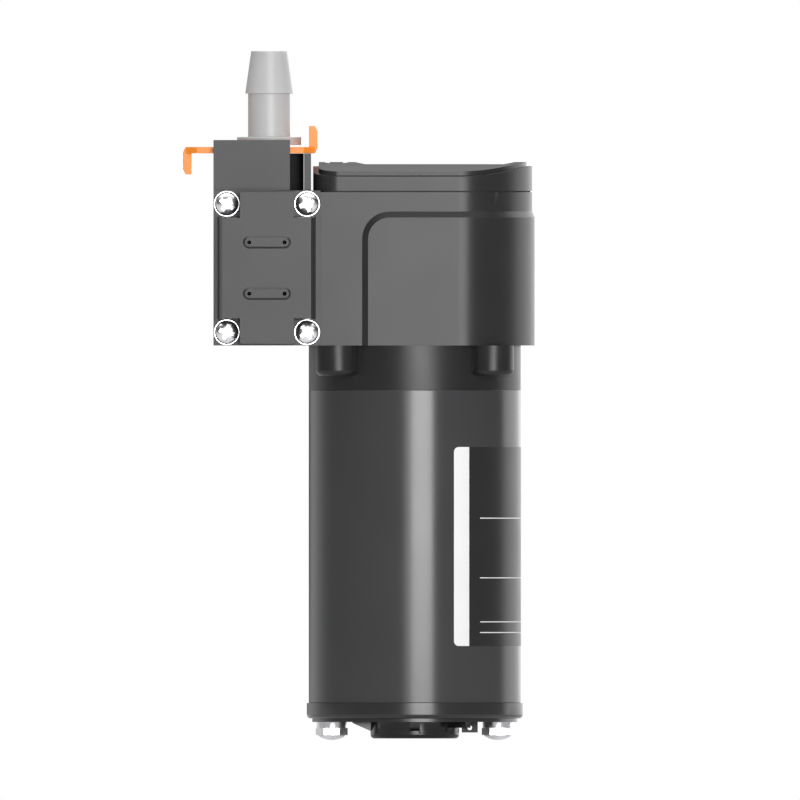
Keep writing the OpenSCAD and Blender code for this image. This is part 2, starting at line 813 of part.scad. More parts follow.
// The flat front stretch of the side panel, whose top left corner is round
module flat_panel(panel_z) {
  skin = case_wall / 2;
  inner = skin - case_half;
  face = -case_half - side_panel_out;
  corner_x = side_panel_r - side_panel_x;
  corner_z = panel_z - side_panel_r;
  translate([0, inner, 0]) rotate([90, 0, 0]) linear_extrude(inner - face) union() {
    translate([-side_panel_x, deck_z]) square([side_panel_x + blend_x, side_panel_h - side_panel_r]);
    translate([corner_x, deck_z]) square([blend_x - corner_x, side_panel_h]);
    translate([corner_x, corner_z]) circle(r = side_panel_r);
  }
  translate([0, 0, deck_z]) linear_extrude(side_panel_h - side_panel_r)
    polygon([[-side_panel_x - side_slope, -case_half], [-side_panel_x, face],
             [-side_panel_x, inner], [-side_panel_x - side_slope, inner]]);
  translate([corner_x, 0, 0]) rotate([90, 0, 90]) linear_extrude(blend_x - corner_x)
    polygon([[-case_half, panel_z + side_slope], [face, panel_z],
             [inner, panel_z], [inner, panel_z + side_slope]]);
  translate([corner_x, -case_half, corner_z]) rotate([90, 0, 0])
    cylinder(r1 = side_panel_r + side_slope, r2 = side_panel_r, h = side_panel_out);
}

module crankcase() {
  rod_hole_r = chamber_r + 0.5;
  mount_boss = mount_depth + 1;
  color([0.3, 0.3, 0.31]) difference() {
    union() {
      translate([0, 0, deck_z]) linear_extrude(case_h) case_outline(0, case_corner_r);
      side_panel();
    }
    difference() {
      case_slab(-case_wall, floor_z, case_top + 1);
      at_case_screws() translate([0, 0, deck_z]) cylinder(r = column_r, h = case_h);
      for (s = [-1, 1]) cover_post(s);
      for (sx = [-1, 1], sz = [-1, 1])
        translate([sx * mount_dx / 2, 0, mount_z + sz * mount_dz / 2])
          bar_y(mount_r + mount_wall, case_half - mount_boss, case_half);
    }
    translate([0, 0, deck_z - 1]) cylinder(r = pilot_r + running, h = case_floor + 2);
    for (z = [lower_z, upper_z])
      translate([0, 0, z]) bar_x(rod_hole_r, -case_left - 1, 2 - case_left + case_wall);
    at_case_screws() {
      translate([0, 0, deck_z - 1]) cylinder(r = case_screw_r + loose, h = case_h + 2);
      translate([0, 0, case_head_z]) cylinder(r = case_head_r + loose, h = case_h);
    }
    at_head_screws() bar_x(head_screw_r + running, -case_left - 1, head_screw_end + 0.3);
    at_cover_screws() translate([0, 0, case_top - cover_boss + 1])
      cylinder(r = cover_screw_r + running, h = cover_boss);
    for (sx = [-1, 1], sz = [-1, 1])
      translate([sx * mount_dx / 2, 0, mount_z + sz * mount_dz / 2])
        bar_y(mount_r, case_half + side_panel_out - mount_depth, case_half + 2);
  }
}

// The block inside the crankcase that takes the cover screw at one end
module cover_post(side) {
  half = 4.5;
  inner = cover_screw_x - 4;
  outer = side < 0 ? case_left : case_end_r - 1;
  block(min(side * inner, side * outer), max(side * inner, side * outer), -half, half,
        case_top - cover_boss, case_top);
}

module crankcase_cover() {
  roof = 2.2;
  crown_drop = crown_r - sqrt(crown_r * crown_r - case_half * case_half);
  screw_post_r = 4;
  color([0.33, 0.33, 0.34]) difference() {
    union() {
      difference() {
        case_slab(0, cover_z, panel_top);
        above_crown(cover_top);
      }
      difference() {
        case_slab(-top_panel_inset, cover_z, panel_top + 1);
        above_crown(panel_top);
      }
      translate([0, 0, top_bearing_z - 0.5]) cylinder(r = top_boss_r, h = cover_z - top_bearing_z + 1);
    }
    difference() {
      case_slab(-case_wall, cover_z - 1, cover_top - crown_drop - roof);
      cylinder(r = top_boss_r, h = panel_top);
      at_case_screws() cylinder(r = column_r, h = panel_top);
      at_cover_screws() cylinder(r = screw_post_r, h = panel_top);
    }
    top_recess_cut();
    island_groove();
    translate([0, 0, top_bearing_z - 1]) cylinder(r = top_bearing_r, h = top_bearing_w + 1);
    at_cover_screws() {
      translate([0, 0, cover_z - 1]) cylinder(r = cover_screw_r + loose, h = cover_h);
      translate([0, 0, cover_head_z]) cylinder(r = cover_head_r + loose, h = cover_h);
    }
  }
}

// An oblong of the given half width and half length, drawn along Y
module oblong(half, reach) {
  translate([-half, half - reach]) square([2 * half, 2 * (reach - half)]);
  for (s = [-1, 1]) translate([0, s * (reach - half)]) circle(r = half);
}

// The narrow groove round the island of the left cover screw
module island_groove() {
  depth = 0.45;
  translate([-cover_screw_x, 0, panel_top - depth]) linear_extrude(2 * depth) difference() {
    oblong(island_half + groove_w, island_reach + groove_w);
    oblong(island_half, island_reach);
  }
}

// The shallow recess in the top panel, with a slope at its left end
module top_recess_cut() {
  low = cover_top - 3;
  high = panel_top + 1;
  run = recess_slope * (high - recess_top) / top_recess;
  intersection() {
    case_slab(-top_panel_inset - top_rim, low, high);
    translate([0, case_half, 0]) rotate([90, 0, 0]) linear_extrude(2 * case_half)
      polygon([[-recess_x, low], [case_end_r, low], [case_end_r, high],
               [-recess_x - run, high], [-recess_x, recess_top]]);
    above_crown(recess_top);
  }
}

module cover_gasket() {
  color([0.05, 0.05, 0.05]) difference() {
    case_slab(-gasket_inset, case_top, cover_z);
    difference() {
      case_slab(-case_wall, case_top - 1, cover_z + 1);
      at_case_screws() cylinder(r = column_r, h = panel_top);
    }
  }
}

module case_screws() {
  tip_z = deck_z - ear_h + case_screw_end;
  key_r = 1.45;
  color([0.75, 0.76, 0.78]) at_case_screws() difference() {
    union() {
      translate([0, 0, tip_z]) cylinder(r = case_screw_r, h = case_head_z - tip_z + 0.5);
      translate([0, 0, case_head_z]) cylinder(r = case_head_r, h = case_head_h);
    }
    translate([0, 0, case_head_z + case_head_h / 2]) cylinder(r = key_r, h = case_head_h, $fn = 6);
  }
}

module cover_screws() {
  head_h = 1.6;
  key_r = 0.75;
  end_z = case_top - 4.5;
  color([0.75, 0.76, 0.78]) at_cover_screws() difference() {
    union() {
      translate([0, 0, end_z]) cylinder(r = cover_screw_r, h = cover_head_z - end_z + 0.5);
      translate([0, 0, cover_head_z]) cylinder(r = cover_head_r, h = head_h);
    }
    translate([0, 0, cover_head_z + head_h / 2]) cylinder(r = key_r, h = head_h, $fn = 6);
  }
}

// Crank drive. Each throw is given by its height z and by side, -1 towards the head

module eccentric(z, side) {
  base = z - rod_w / 2;
  difference() {
    union() {
      translate([side * throw, 0, base]) cylinder(r = ecc_r, h = rod_w);
      translate([side * throw, 0, base - ecc_flange]) cylinder(r = ecc_flange_r, h = ecc_flange);
      translate([0, 0, base - ecc_flange - ecc_hub_h]) cylinder(r = ecc_r - 0.5, h = ecc_hub_h + 0.1);
    }
    cylinder(r = shaft_r, h = z + rod_w);
    translate([0, 0, base - ecc_flange - ecc_hub_h / 2]) rotate(90) bar_x(set_screw_r, 0, ecc_r + 1);
  }
}

module eccentric_lower() { color([0.55, 0.56, 0.58]) eccentric(lower_z, -1); }
module eccentric_upper() { color([0.55, 0.56, 0.58]) eccentric(upper_z, 1); }

module rod_bearing_outer(z, side) {
  color([0.7, 0.71, 0.73]) translate([side * throw, 0, z - rod_w / 2])
    ring(rod_bearing_r, rod_bearing_r - rod_bearing_race, rod_w);
}
module rod_bearing_inner(z, side) {
  color([0.75, 0.76, 0.78]) translate([side * throw, 0, z - rod_w / 2])
    ball_set(ecc_r, rod_bearing_race, rod_bearing_r, rod_bearing_race, rod_w, 10);
}
module rod_bearing_outer_lower() { rod_bearing_outer(lower_z, -1); }
module rod_bearing_outer_upper() { rod_bearing_outer(upper_z, 1); }
module rod_bearing_inner_lower() { rod_bearing_inner(lower_z, -1); }
module rod_bearing_inner_upper() { rod_bearing_inner(upper_z, 1); }

module rod(z, side) {
  pocket_len = 9;
  pocket_rim = 2;
  pocket_depth = 1.5;
  pocket_in = 10.1;
  pocket_x = pocket_in - rod_len;
  color([0.82, 0.82, 0.8]) translate([side * throw, 0, z]) difference() {
    union() {
      translate([0, 0, -rod_w / 2]) cylinder(r = rod_bearing_r + rod_ring, h = rod_w);
      block(-rod_len + seat_t / 2, -rod_bearing_r - rod_ring / 2, -rod_neck_w / 2, rod_neck_w / 2,
            -rod_w / 2, rod_w / 2);
      bar_x(rod_seat_r, -rod_len, -rod_len + seat_t);
    }
    translate([0, 0, -rod_w]) cylinder(r = rod_bearing_r, h = 2 * rod_w);
    bar_x(piston_screw_r + running, -rod_len - 1, -rod_len + piston_screw_grip + 1);
    for (s = [-1, 1]) translate([pocket_x, 0, s * rod_w / 2])
      cube([pocket_len, rod_neck_w - 2 * pocket_rim, 2 * pocket_depth], center = true);
  }
}
module rod_lower() { rod(lower_z, -1); }
module rod_upper() { rod(upper_z, 1); }

module piston(z, side) {
  face = side * throw - rod_len - diaphragm_t;
  color([0.72, 0.73, 0.75]) translate([0, 0, z]) difference() {
    bar_x(piston_r, face - piston_t, face);
    bar_x(piston_screw_r + running, face - piston_t - 1, face + 1);
  }
}
module piston_lower() { piston(lower_z, -1); }
module piston_upper() { piston(upper_z, 1); }

module piston_screw(z, side) {
  face = side * throw - rod_len - diaphragm_t - piston_t;
  head_t = 0.5;
  slot_w = 0.6;
  slot_depth = 0.3;
  color([0.8, 0.8, 0.82]) translate([0, 0, z]) difference() {
    union() {
      bar_x(piston_screw_r, face - 0.1, face + piston_t + diaphragm_t + piston_screw_grip);
      bar_x(piston_screw_r + 1, face - head_t, face);
    }
    block(face - 2 * head_t, face - head_t + slot_depth, -slot_w / 2, slot_w / 2,
          -2 * piston_screw_r, 2 * piston_screw_r);
  }
}
module piston_screw_lower() { piston_screw(lower_z, -1); }
module piston_screw_upper() { piston_screw(upper_z, 1); }

// Pump head

// One moulded disc of the diaphragm: flange level 0, centre pushed by lift along +Z
module membrane(lift) {
  hub = rod_seat_r + 0.4;
  rim = chamber_r - 0.4;
  rotate_extrude() polygon([
    [piston_screw_r + loose, lift], [hub, lift], [rim, 0], [chamber_r + 1, 0],
    [chamber_r + 1, diaphragm_t], [rim, diaphragm_t], [hub, lift + diaphragm_t],
    [piston_screw_r + loose, lift + diaphragm_t]]);
}

module diaphragm() {
  color([0.07, 0.07, 0.07]) union() {
    difference() {
      block(dia_x, clamp_x, -case_half + 0.5, case_half - 0.5, deck_z + 0.5, head_top - 0.5);
      for (z = [lower_z, upper_z]) translate([0, 0, z]) bar_x(chamber_r, dia_x - 1, clamp_x + 1);
      at_head_screws() bar_x(head_screw_r + loose, dia_x - 1, clamp_x + 1);
    }
    translate([dia_x, 0, lower_z]) rotate([0, 90, 0]) membrane(-throw);
    translate([dia_x, 0, upper_z]) rotate([0, 90, 0]) membrane(throw);
  }
}

module clamp_plate() {
  color([0.4, 0.4, 0.41]) difference() {
    union() {
      block(clamp_x, -case_left, -case_half, case_half, deck_z, head_top);
      block(stop_x0, stop_x1, -case_half + 2, case_half - 2, head_top - 1, socket_top);
    }
    for (z = [lower_z, upper_z]) translate([0, 0, z]) bar_x(chamber_r, clamp_x - 1, 1 - case_left);
    at_head_screws() bar_x(head_screw_r + loose, clamp_x - 1, 1 - case_left);
    at_switch_screws() bar_y(switch_screw_r + running, front_y - 1, front_y + switch_thread + 0.2);
  }
}

// Stations of the inlet and outlet valves: side +1 is the inlet
module at_valves(side) {
  for (z = [lower_z, upper_z]) translate([0, side * valve_y, z]) children();
}

module valve_plate() {
  port_r = 0.8;
  ports = 5;
  ports_r = 2.2;
  color([0.62, 0.62, 0.6]) difference() {
    block(plate_x, dia_x, -case_half, case_half, deck_z, head_top);
    for (z = [lower_z, upper_z]) translate([0, 0, z]) bar_x(chamber_r, chamber_x, dia_x + 1);
    for (s = [-1, 1]) at_valves(s) {
      bar_x(valve_pocket_r, valve_pocket_x, chamber_x + 1);
      bar_x(valve_stem_r + running, plate_x - 1, chamber_x);
      for (i = [0 : ports - 1]) rotate([i * 360 / ports, 0, 0]) translate([0, ports_r, 0])
        bar_x(port_r, plate_x - 1, chamber_x);
    }
    at_head_screws() bar_x(head_screw_r + loose, plate_x - 1, dia_x + 1);
  }
}

// An umbrella valve: disc on one side of the web, bulb on the other
module umbrella(web_x0, web_x1, disc_on_right) {
  disc_x = disc_on_right ? web_x1 : web_x0 - valve_t;
  bulb_x = disc_on_right ? web_x0 - 1.2 : web_x1;
  bar_x(valve_stem_r, web_x0 - 0.1, web_x1 + 0.1);
  bar_x(valve_r, disc_x, disc_x + valve_t);
  bar_x(valve_bulb_r, bulb_x, bulb_x + 1.2);
}

module inlet_valves() {
  color([0.72, 0.3, 0.2]) at_valves(1) umbrella(plate_x, valve_pocket_x, true);
}

module outlet_valves() {
  color([0.72, 0.3, 0.2]) at_valves(-1) umbrella(plate_x, valve_pocket_x, false);
}

// Guide rails for the two slide clips: two outer walls and one between the ports
module rails() {
  x1 = head_x + rail_len;
  inner = port_y + channel_half;
  mid = port_y - channel_half;
  difference() {
    union() {
      block(head_x, x1, -case_half, -inner, head_top, rail_top);
      block(head_x, x1, inner, case_half, head_top, rail_top);
      block(head_x, x1, -mid, mid, head_top, rail_top);
    }
    for (s = [-1, 1])
      block(head_x - 1, x1 + 1, s * port_y - clip_half - 2 * loose, s * port_y + clip_half + 2 * loose,
            groove_z0, groove_z1);
  }
}

module manifold() {
  tap_r = 1.5;
  color([0.36, 0.36, 0.37]) difference() {
    union() {
      block(head_x, plate_x, -case_half, case_half, deck_z, head_top);
      rails();
      for (s = [-1, 1]) translate([-port_x, s * port_y, head_top])
        cylinder(r = socket_r, h = socket_h);
    }
    for (s = [-1, 1]) {
      block(gallery_x, plate_x + 1, min(s * gallery_y0, s * gallery_y1),
            max(s * gallery_y0, s * gallery_y1), gallery_z0, gallery_z1);
      translate([passage_x, s * port_y, gallery_z1 - 1])
        cylinder(r = passage_r, h = socket_floor - gallery_z1 + 2);
      translate([-port_x, s * port_y, socket_floor]) cylinder(r = socket_bore_r, h = socket_h);
    }
    at_head_screws() {
      bar_x(head_screw_r + loose, head_x - 1, plate_x + 1);
      bar_x(head_screw_head_r + loose, head_x - 1, head_x + head_screw_sink);
    }
    translate([plunger_x, 0, plunger_z]) {
      bar_y(tap_r, front_y - 1, 1 - gallery_y1);
      bar_y(switch_dia_r, front_y - 1, front_y + 1);
    }
    at_switch_screws() bar_y(switch_screw_r + running, front_y - 1, front_y + switch_thread + 0.2);
  }
}

module head_screws() {
  color([0.75, 0.76, 0.78]) at_head_screws() difference() {
    union() {
      bar_x(head_screw_r, head_x + 1, head_screw_end);
      bar_x(head_screw_head_r, head_x + 0.2, head_x + head_screw_sink);
    }
    rotate([0, 90, 0]) translate([0, 0, head_x - 1]) cylinder(r = 1.7, h = 3, $fn = 6);
  }
}

// Port fittings. side -1 is the outlet, on the switch side

module at_port(side) {
  translate([-port_x, side * port_y, 0]) children();
}

module barb() {
  shank_z = socket_floor + 0.8;
  seat = o_ring_r * 2;
  color([0.78, 0.8, 0.82]) difference() {
    rotate_extrude() polygon([
      [barb_bore_r, shank_z], [shank_r, shank_z], [shank_r, o_ring_z - o_ring_r - 0.05],
      [shank_r - seat, o_ring_z - o_ring_r - 0.05], [shank_r - seat, o_ring_z + o_ring_r + 0.05],
      [shank_r, o_ring_z + o_ring_r + 0.05],
      [shank_r, socket_top - 0.2], [neck_r, socket_top - 0.2], [neck_r, flange_z],
      [flange_r, flange_z], [flange_r, stem_z], [stem_r, stem_z], [stem_r, cone_z],
      [barb_r, cone_z], [barb_tip_r, tip_z], [barb_bore_r, tip_z]]);
  }
}
module outlet_barb() { at_port(-1) barb(); }
module inlet_barb() { at_port(1) barb(); }

module o_ring() {
  color([0.05, 0.05, 0.05]) translate([0, 0, o_ring_z]) rotate_extrude()
    translate([socket_bore_r - o_ring_out - o_ring_r, 0]) circle(r = o_ring_r);
}
module outlet_o_ring() { at_port(-1) o_ring(); }
module inlet_o_ring() { at_port(1) o_ring(); }

// A lip of a clip between two heights. Its outer face is at x, towards side
module clip_lip(x, side, z0, z1) {
  half = clip_half - clip_corner_y;
  translate([0, half, 0]) rotate([90, 0, 0]) linear_extrude(2 * half)
    polygon([[x, z0 + lip_cut_z], [x - side * lip_cut_x, z0], [x - side * lip_t, z0],
             [x - side * lip_t, z1], [x - side * lip_cut_x, z1], [x, z1 - lip_cut_z]]);
}

// The flat of a clip seen from above, with its four corners cut off
module clip_flat(x0, x1) {
  half = clip_half - clip_corner_y;
  polygon([[x0 + lip_cut_x, -half], [x0 + clip_corner_x, -clip_half], [x1 - clip_corner_x, -clip_half],
           [x1 - lip_cut_x, -half], [x1 - lip_cut_x, half], [x1 - clip_corner_x, clip_half],
           [x0 + clip_corner_x, clip_half], [x0 + lip_cut_x, half]]);
}

module slide_clip() {
  slot_half_w = neck_r + 2 * loose;
  hole_r = socket_bore_r + loose;
  x0 = head_x - clip_left + port_x;
  x1 = head_x + rail_len + clip_right + port_x;
  top = clip_z + clip_t;
  color([0.92, 0.42, 0.12]) difference() {
    union() {
      translate([0, 0, clip_z]) linear_extrude(clip_t) clip_flat(x0, x1);
      clip_lip(x0, -1, clip_z - lip_down, top);
      clip_lip(x1, 1, clip_z, top + lip_up);
    }
    translate([-clip_travel, 0, clip_z - 1]) cylinder(r = hole_r, h = clip_t + 2);
    translate([0, 0, clip_z - 1]) cylinder(r = slot_half_w, h = clip_t + 2);
    block(-clip_travel, 0, -slot_half_w, slot_half_w, clip_z - 1, top + 1);
  }
}
module outlet_clip() { at_port(-1) slide_clip(); }
module inlet_clip() { at_port(1) slide_clip(); }

// Pressure switch on the front of the head

module at_switch_screws() {
  for (x = [switch_x0 + lug_mid, switch_x1 - lug_mid], z = [deck_z + lug_mid, head_top - lug_mid])
    translate([x, 0, z]) children();
}

// The raised oblong with a sloped edge round each pair of terminal holes
module slot_pad() {
  root = 0.5;
  top_r = slot_r - slot_slope;
  mid = slot_half - slot_r;
  for (s = [-1, 1]) translate([s * mid, 0, 0]) {
    bar_y(slot_r, 0, root);
    rotate([90, 0, 0]) cylinder(r1 = slot_r, r2 = top_r, h = slot_rise);
  }
  translate([-mid, 0, 0]) rotate([90, 0, 90]) linear_extrude(2 * mid)
    polygon([[root, -slot_r], [0, -slot_r], [-slot_rise, -top_r],
             [-slot_rise, top_r], [0, slot_r], [root, slot_r]]);
}

module switch_housing() {
  body_z0 = deck_z + lug;
  body_z1 = head_top - lug;
  body_edge = 0.4;
  tongue = 8.1;
  color([0.38, 0.38, 0.39]) difference() {
    union() {
      difference() {
        union() {
          block(switch_x0, switch_x1, foot_y, front_y, deck_z, head_top);
          hull() {
            block(body_x0, body_x1, foot_y, front_y, body_z0, body_z1);
            block(body_x0 + body_side, body_x1 - body_side, face_y, front_y,
                  body_z0 + body_edge, body_z1 - body_edge);
          }
          block(switch_mid - tongue, switch_mid + tongue, face_y, front_y, deck_z + 0.5, head_top - 0.5);
        }
        block(cavity_x0, cavity_x1, face_y + switch_wall, front_y + 1,
              mid_z - cavity_z, mid_z + cavity_z);
      }
      for (s = [-1, 1]) translate([switch_mid, face_y, mid_z + s * slot_pitch / 2]) slot_pad();
    }
    for (sx = [-1, 1], sz = [-1, 1])
      translate([switch_mid + sx * slot_hole_x, 0, mid_z + sz * slot_pitch / 2])
        bar_y(slot_hole_r, face_y - 1, face_y + switch_wall + 1);
    at_switch_screws() bar_y(switch_screw_r + loose, foot_y - 1, front_y + 1);
  }
}

module switch_screws() {
  washer_t = 0.8;
  dome_r = 3.25;
  rise = 2.1;
  ball_r = 5.4;
  cross = 0.8;
  cross_half = 1.9;
  cross_depth = 0.5;
  color([0.85, 0.86, 0.88]) at_switch_screws() translate([0, foot_y, 0]) difference() {
    union() {
      bar_y(switch_screw_r, 0, switch_foot + switch_thread);
      bar_y(switch_washer_r, -washer_t, 0);
      intersection() {
        bar_y(dome_r, -rise - 1, 0.1 - washer_t);
        translate([0, ball_r - rise, 0]) sphere(r = ball_r, $fn = 64);
      }
    }
    for (a = [0, 90]) rotate([0, a, 0]) translate([-cross / 2, -rise - 1, -cross_half])
      cube([cross, 1 + cross_depth, 2 * cross_half]);
  }
}

module switch_diaphragm() {
  color([0.07, 0.07, 0.07]) translate([plunger_x, 0, plunger_z])
    bar_y(switch_dia_r - loose, front_y, front_y + 1);
}

module switch_plunger() {
  color([0.9, 0.9, 0.88]) translate([plunger_x, 0, plunger_z]) {
    bar_y(plunger_r, front_y - plunger_t, front_y);
    bar_y(plunger_stem_r, micro_y1 + button_up, front_y - plunger_t + 0.1);
  }
}

module switch_spring() {
  color([0.8, 0.8, 0.82]) translate([plunger_x, front_y - plunger_t, plunger_z]) rotate([90, 0, 0])
    coil_spring(2.6, 0.25, spring_len, 2);
}

micro_len = 12.8;
micro_w = 5.8;
micro_in = 3.4;
button_sink = 1.5;

module switch_carrier() {
  half_h = cavity_z - loose;
  leg = 1.5;
  x0 = cavity_x0 + loose;
  x1 = cavity_x1 - loose;
  color([0.85, 0.84, 0.8]) difference() {
    union() {
      block(x0, x1, carrier_y - carrier_t, carrier_y, mid_z - half_h, mid_z + half_h);
      for (x = [x0, x1 - leg], z = [mid_z - half_h, mid_z + half_h - leg])
        block(x, x + leg, carrier_y - 0.1, front_y, z, z + leg);
    }
    translate([plunger_x, 0, plunger_z]) bar_y(plunger_stem_r + loose, micro_y1 - 1, carrier_y + 1);
  }
}

module microswitch() {
  x0 = plunger_x - micro_in;
  color([0.12, 0.12, 0.13]) difference() {
    block(x0, x0 + micro_len, micro_y0, micro_y1, plunger_z - micro_w / 2, plunger_z + micro_w / 2);
    translate([plunger_x, 0, plunger_z]) bar_y(button_r + loose, micro_y1 - button_sink, micro_y1 + 1);
  }
}

module microswitch_button() {
  color([0.75, 0.15, 0.12]) translate([plunger_x, 0, plunger_z])
    bar_y(button_r, micro_y1 - button_sink + button_up, micro_y1 + button_up);
}

module switch_terminals() {
  pin_r = slot_hole_r - running;
  point = 1.2;
  point_y = face_y + switch_wall + 0.5;
  color([0.85, 0.72, 0.36]) for (sx = [-1, 1], sz = [-1, 1])
    translate([switch_mid + sx * slot_hole_x, 0, mid_z + sz * slot_pitch / 2]) {
      bar_y(pin_r, point_y + point, micro_y1);
      translate([0, point_y + point, 0]) rotate([90, 0, 0]) cylinder(r1 = pin_r, r2 = pin_r / 4, h = point);
    }
}

motor_can();
rear_end_cap();
front_bell();
field_magnets();
motor_shaft();
armature_core();
armature_windings();
commutator();
brush_holder();
brushes();
brush_springs();
through_bolts();
motor_terminals();
rear_bearing_outer();
rear_bearing_inner();
front_bearing_outer();
front_bearing_inner();
top_bearing_outer();
top_bearing_inner();
crankcase();
crankcase_cover();
cover_gasket();
case_screws();
cover_screws();
eccentric_lower();
eccentric_upper();
rod_bearing_outer_lower();
rod_bearing_outer_upper();
rod_bearing_inner_lower();
rod_bearing_inner_upper();
rod_lower();
rod_upper();
piston_lower();
piston_upper();
piston_screw_lower();
piston_screw_upper();
diaphragm();
clamp_plate();
valve_plate();
inlet_valves();
outlet_valves();
manifold();
head_screws();
outlet_barb();
inlet_barb();
outlet_o_ring();
inlet_o_ring();
outlet_clip();
inlet_clip();
switch_housing();
switch_screws();
switch_diaphragm();
switch_plunger();
switch_spring();
switch_carrier();
microswitch();
microswitch_button();
switch_terminals();
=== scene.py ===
"""Looks of a twin-chamber diaphragm pump: finishes, rounded edges, label, screw heads and studio."""

import logging
import math
from collections.abc import Sequence
from dataclasses import dataclass, field
from enum import Enum

import bmesh
import bpy
from mathutils import Matrix, Vector


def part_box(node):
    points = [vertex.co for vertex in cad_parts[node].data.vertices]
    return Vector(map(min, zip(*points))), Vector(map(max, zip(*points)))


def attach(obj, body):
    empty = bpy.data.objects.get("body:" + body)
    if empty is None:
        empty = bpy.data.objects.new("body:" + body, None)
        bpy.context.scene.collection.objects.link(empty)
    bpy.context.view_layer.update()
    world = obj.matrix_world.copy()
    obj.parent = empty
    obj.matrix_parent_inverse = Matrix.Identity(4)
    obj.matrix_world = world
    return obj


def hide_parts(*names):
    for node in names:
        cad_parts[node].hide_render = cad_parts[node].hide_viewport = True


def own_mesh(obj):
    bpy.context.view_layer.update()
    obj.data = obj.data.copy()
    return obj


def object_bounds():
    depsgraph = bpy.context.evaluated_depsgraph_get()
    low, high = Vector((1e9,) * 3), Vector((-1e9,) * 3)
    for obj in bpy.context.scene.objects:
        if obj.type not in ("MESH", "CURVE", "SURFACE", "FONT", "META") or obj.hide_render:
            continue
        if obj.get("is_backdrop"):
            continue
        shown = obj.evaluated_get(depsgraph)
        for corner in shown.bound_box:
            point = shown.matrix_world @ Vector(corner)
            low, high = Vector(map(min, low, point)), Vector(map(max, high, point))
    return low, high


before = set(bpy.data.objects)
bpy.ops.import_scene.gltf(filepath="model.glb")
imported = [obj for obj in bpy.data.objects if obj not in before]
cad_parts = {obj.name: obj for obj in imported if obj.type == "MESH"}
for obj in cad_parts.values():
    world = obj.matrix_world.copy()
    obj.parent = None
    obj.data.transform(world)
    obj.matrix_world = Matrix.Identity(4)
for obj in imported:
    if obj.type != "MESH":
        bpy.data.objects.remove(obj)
LOG = logging.getLogger("diaphragm_pump")
MM = 0.001
ROOT_BODY = "pump_body"

# Edges that turn less than SMOOTH_LIMIT degrees shade smooth, and those over BEVEL_LIMIT get a radius
SMOOTH_LIMIT = 19.0
BEVEL_LIMIT = 35.0
BEVEL_STEPS = 5
FLAT_LIMIT = 0.5
WELD_MM = 0.004

# The part of a noise's range that is spread over the whole effect
MIDDLE_OF_NOISE = (0.3, 0.7)
WHITE = (1.0, 1.0, 1.0, 1.0)

Colour = tuple[float, float, float]
Socket = bpy.types.NodeSocket
Tree = bpy.types.NodeTree


class Edge(Enum):
    """Radius in millimetres given to the outer edges of a piece."""

    SHARP = 0.0
    FINE = 0.12
    CRISP = 0.2
    MOULDED = 0.3
    SOFT = 0.45


class Turned(Enum):
    """Whether a metal piece has rings from turning, or the edges of stacked sheets or wires, round its Z axis."""

    NONE = "none"
    ALONG_AXIS = "along_axis"


# Node helpers


def place(tree: Tree, kind: str, **values: object) -> bpy.types.Node:
    """Adds a node and sets its properties and input sockets.

    Args:
        tree: Node tree that takes the node.
        kind: Blender's name of the node type.
        values: Property names, or socket names with underscores for spaces.

    Returns:
        The new node.
    """
    node = tree.nodes.new(kind)
    for name, value in values.items():
        if hasattr(node, name):
            setattr(node, name, value)
    for name, value in values.items():
        socket = node.inputs.get(name.replace("_", " "))
        if socket is not None and not hasattr(node, name):
            socket.default_value = value
    return node


def link(tree: Tree, source: Socket, target: Socket) -> None:
    """Joins two sockets."""
    tree.links.new(source, target)


def arithmetic(tree: Tree, operation: str, first: object, second: object = 0.0) -> Socket:
    """Adds a Math node.

    Args:
        tree: Node tree that takes the node.
        operation: Blender's name of the operation.
        first: A socket or a number.
        second: A socket or a number.

    Returns:
        The result's socket.
    """
    node = place(tree, "ShaderNodeMath", operation=operation)
    for socket, value in zip(node.inputs, (first, second)):
        if isinstance(value, (int, float)):
            socket.default_value = value
        else:
            link(tree, value, socket)
    return node.outputs[0]


def remap(tree: Tree, value: Socket, low: float, high: float, to_low: float, to_high: float) -> Socket:
    """Adds a smooth Map Range node.

    Args:
        tree: Node tree that takes the node.
        value: Socket to remap.
        low: Value that becomes to_low.
        high: Value that becomes to_high.
        to_low: Result at low.
        to_high: Result at high.

    Returns:
        The result's socket.
    """
    node = place(tree, "ShaderNodeMapRange", interpolation_type="SMOOTHSTEP")
    link(tree, value, node.inputs["Value"])
    for name, number in (("From Min", low), ("From Max", high), ("To Min", to_low), ("To Max", to_high)):
        node.inputs[name].default_value = number
    return node.outputs["Result"]


@dataclass(frozen=True)
class EffectGroup:
    """A shader node group that several finishes share."""

    name: str
    inputs: tuple[tuple[str, float], ...]
    outputs: tuple[str, ...]

    def new_tree(self) -> Tree:
        """Makes the empty group with its sockets.

        Returns:
            The group's node tree.
        """
        tree = bpy.data.node_groups.new(self.name, "ShaderNodeTree")
        for name, value in self.inputs:
            tree.interface.new_socket(name, in_out="INPUT", socket_type="NodeSocketFloat").default_value = value
        for name in self.outputs:
            tree.interface.new_socket(name, in_out="OUTPUT", socket_type="NodeSocketFloat")
        tree.nodes.new("NodeGroupInput")
        tree.nodes.new("NodeGroupOutput")
        return tree

    def tree(self) -> Tree:
        """Finds the group, or builds it on first use.

        Returns:
            The group's node tree.
        """
        found = bpy.data.node_groups.get(self.name)
        return found if found else self.build()

    def build(self) -> Tree:
        """Builds the group. Each effect has its own."""
        raise NotImplementedError

    def use(self, tree: Tree, **values: float) -> bpy.types.Node:
        """Places the group in a material.

        Args:
            tree: The material's node tree.
            values: Values of the group's inputs, with underscores for spaces.

        Returns:
            The group node.
        """
        node = tree.nodes.new("ShaderNodeGroup")
        node.node_tree = self.tree()
        for name, value in values.items():
            node.inputs[name.replace("_", " ")].default_value = value
        return node


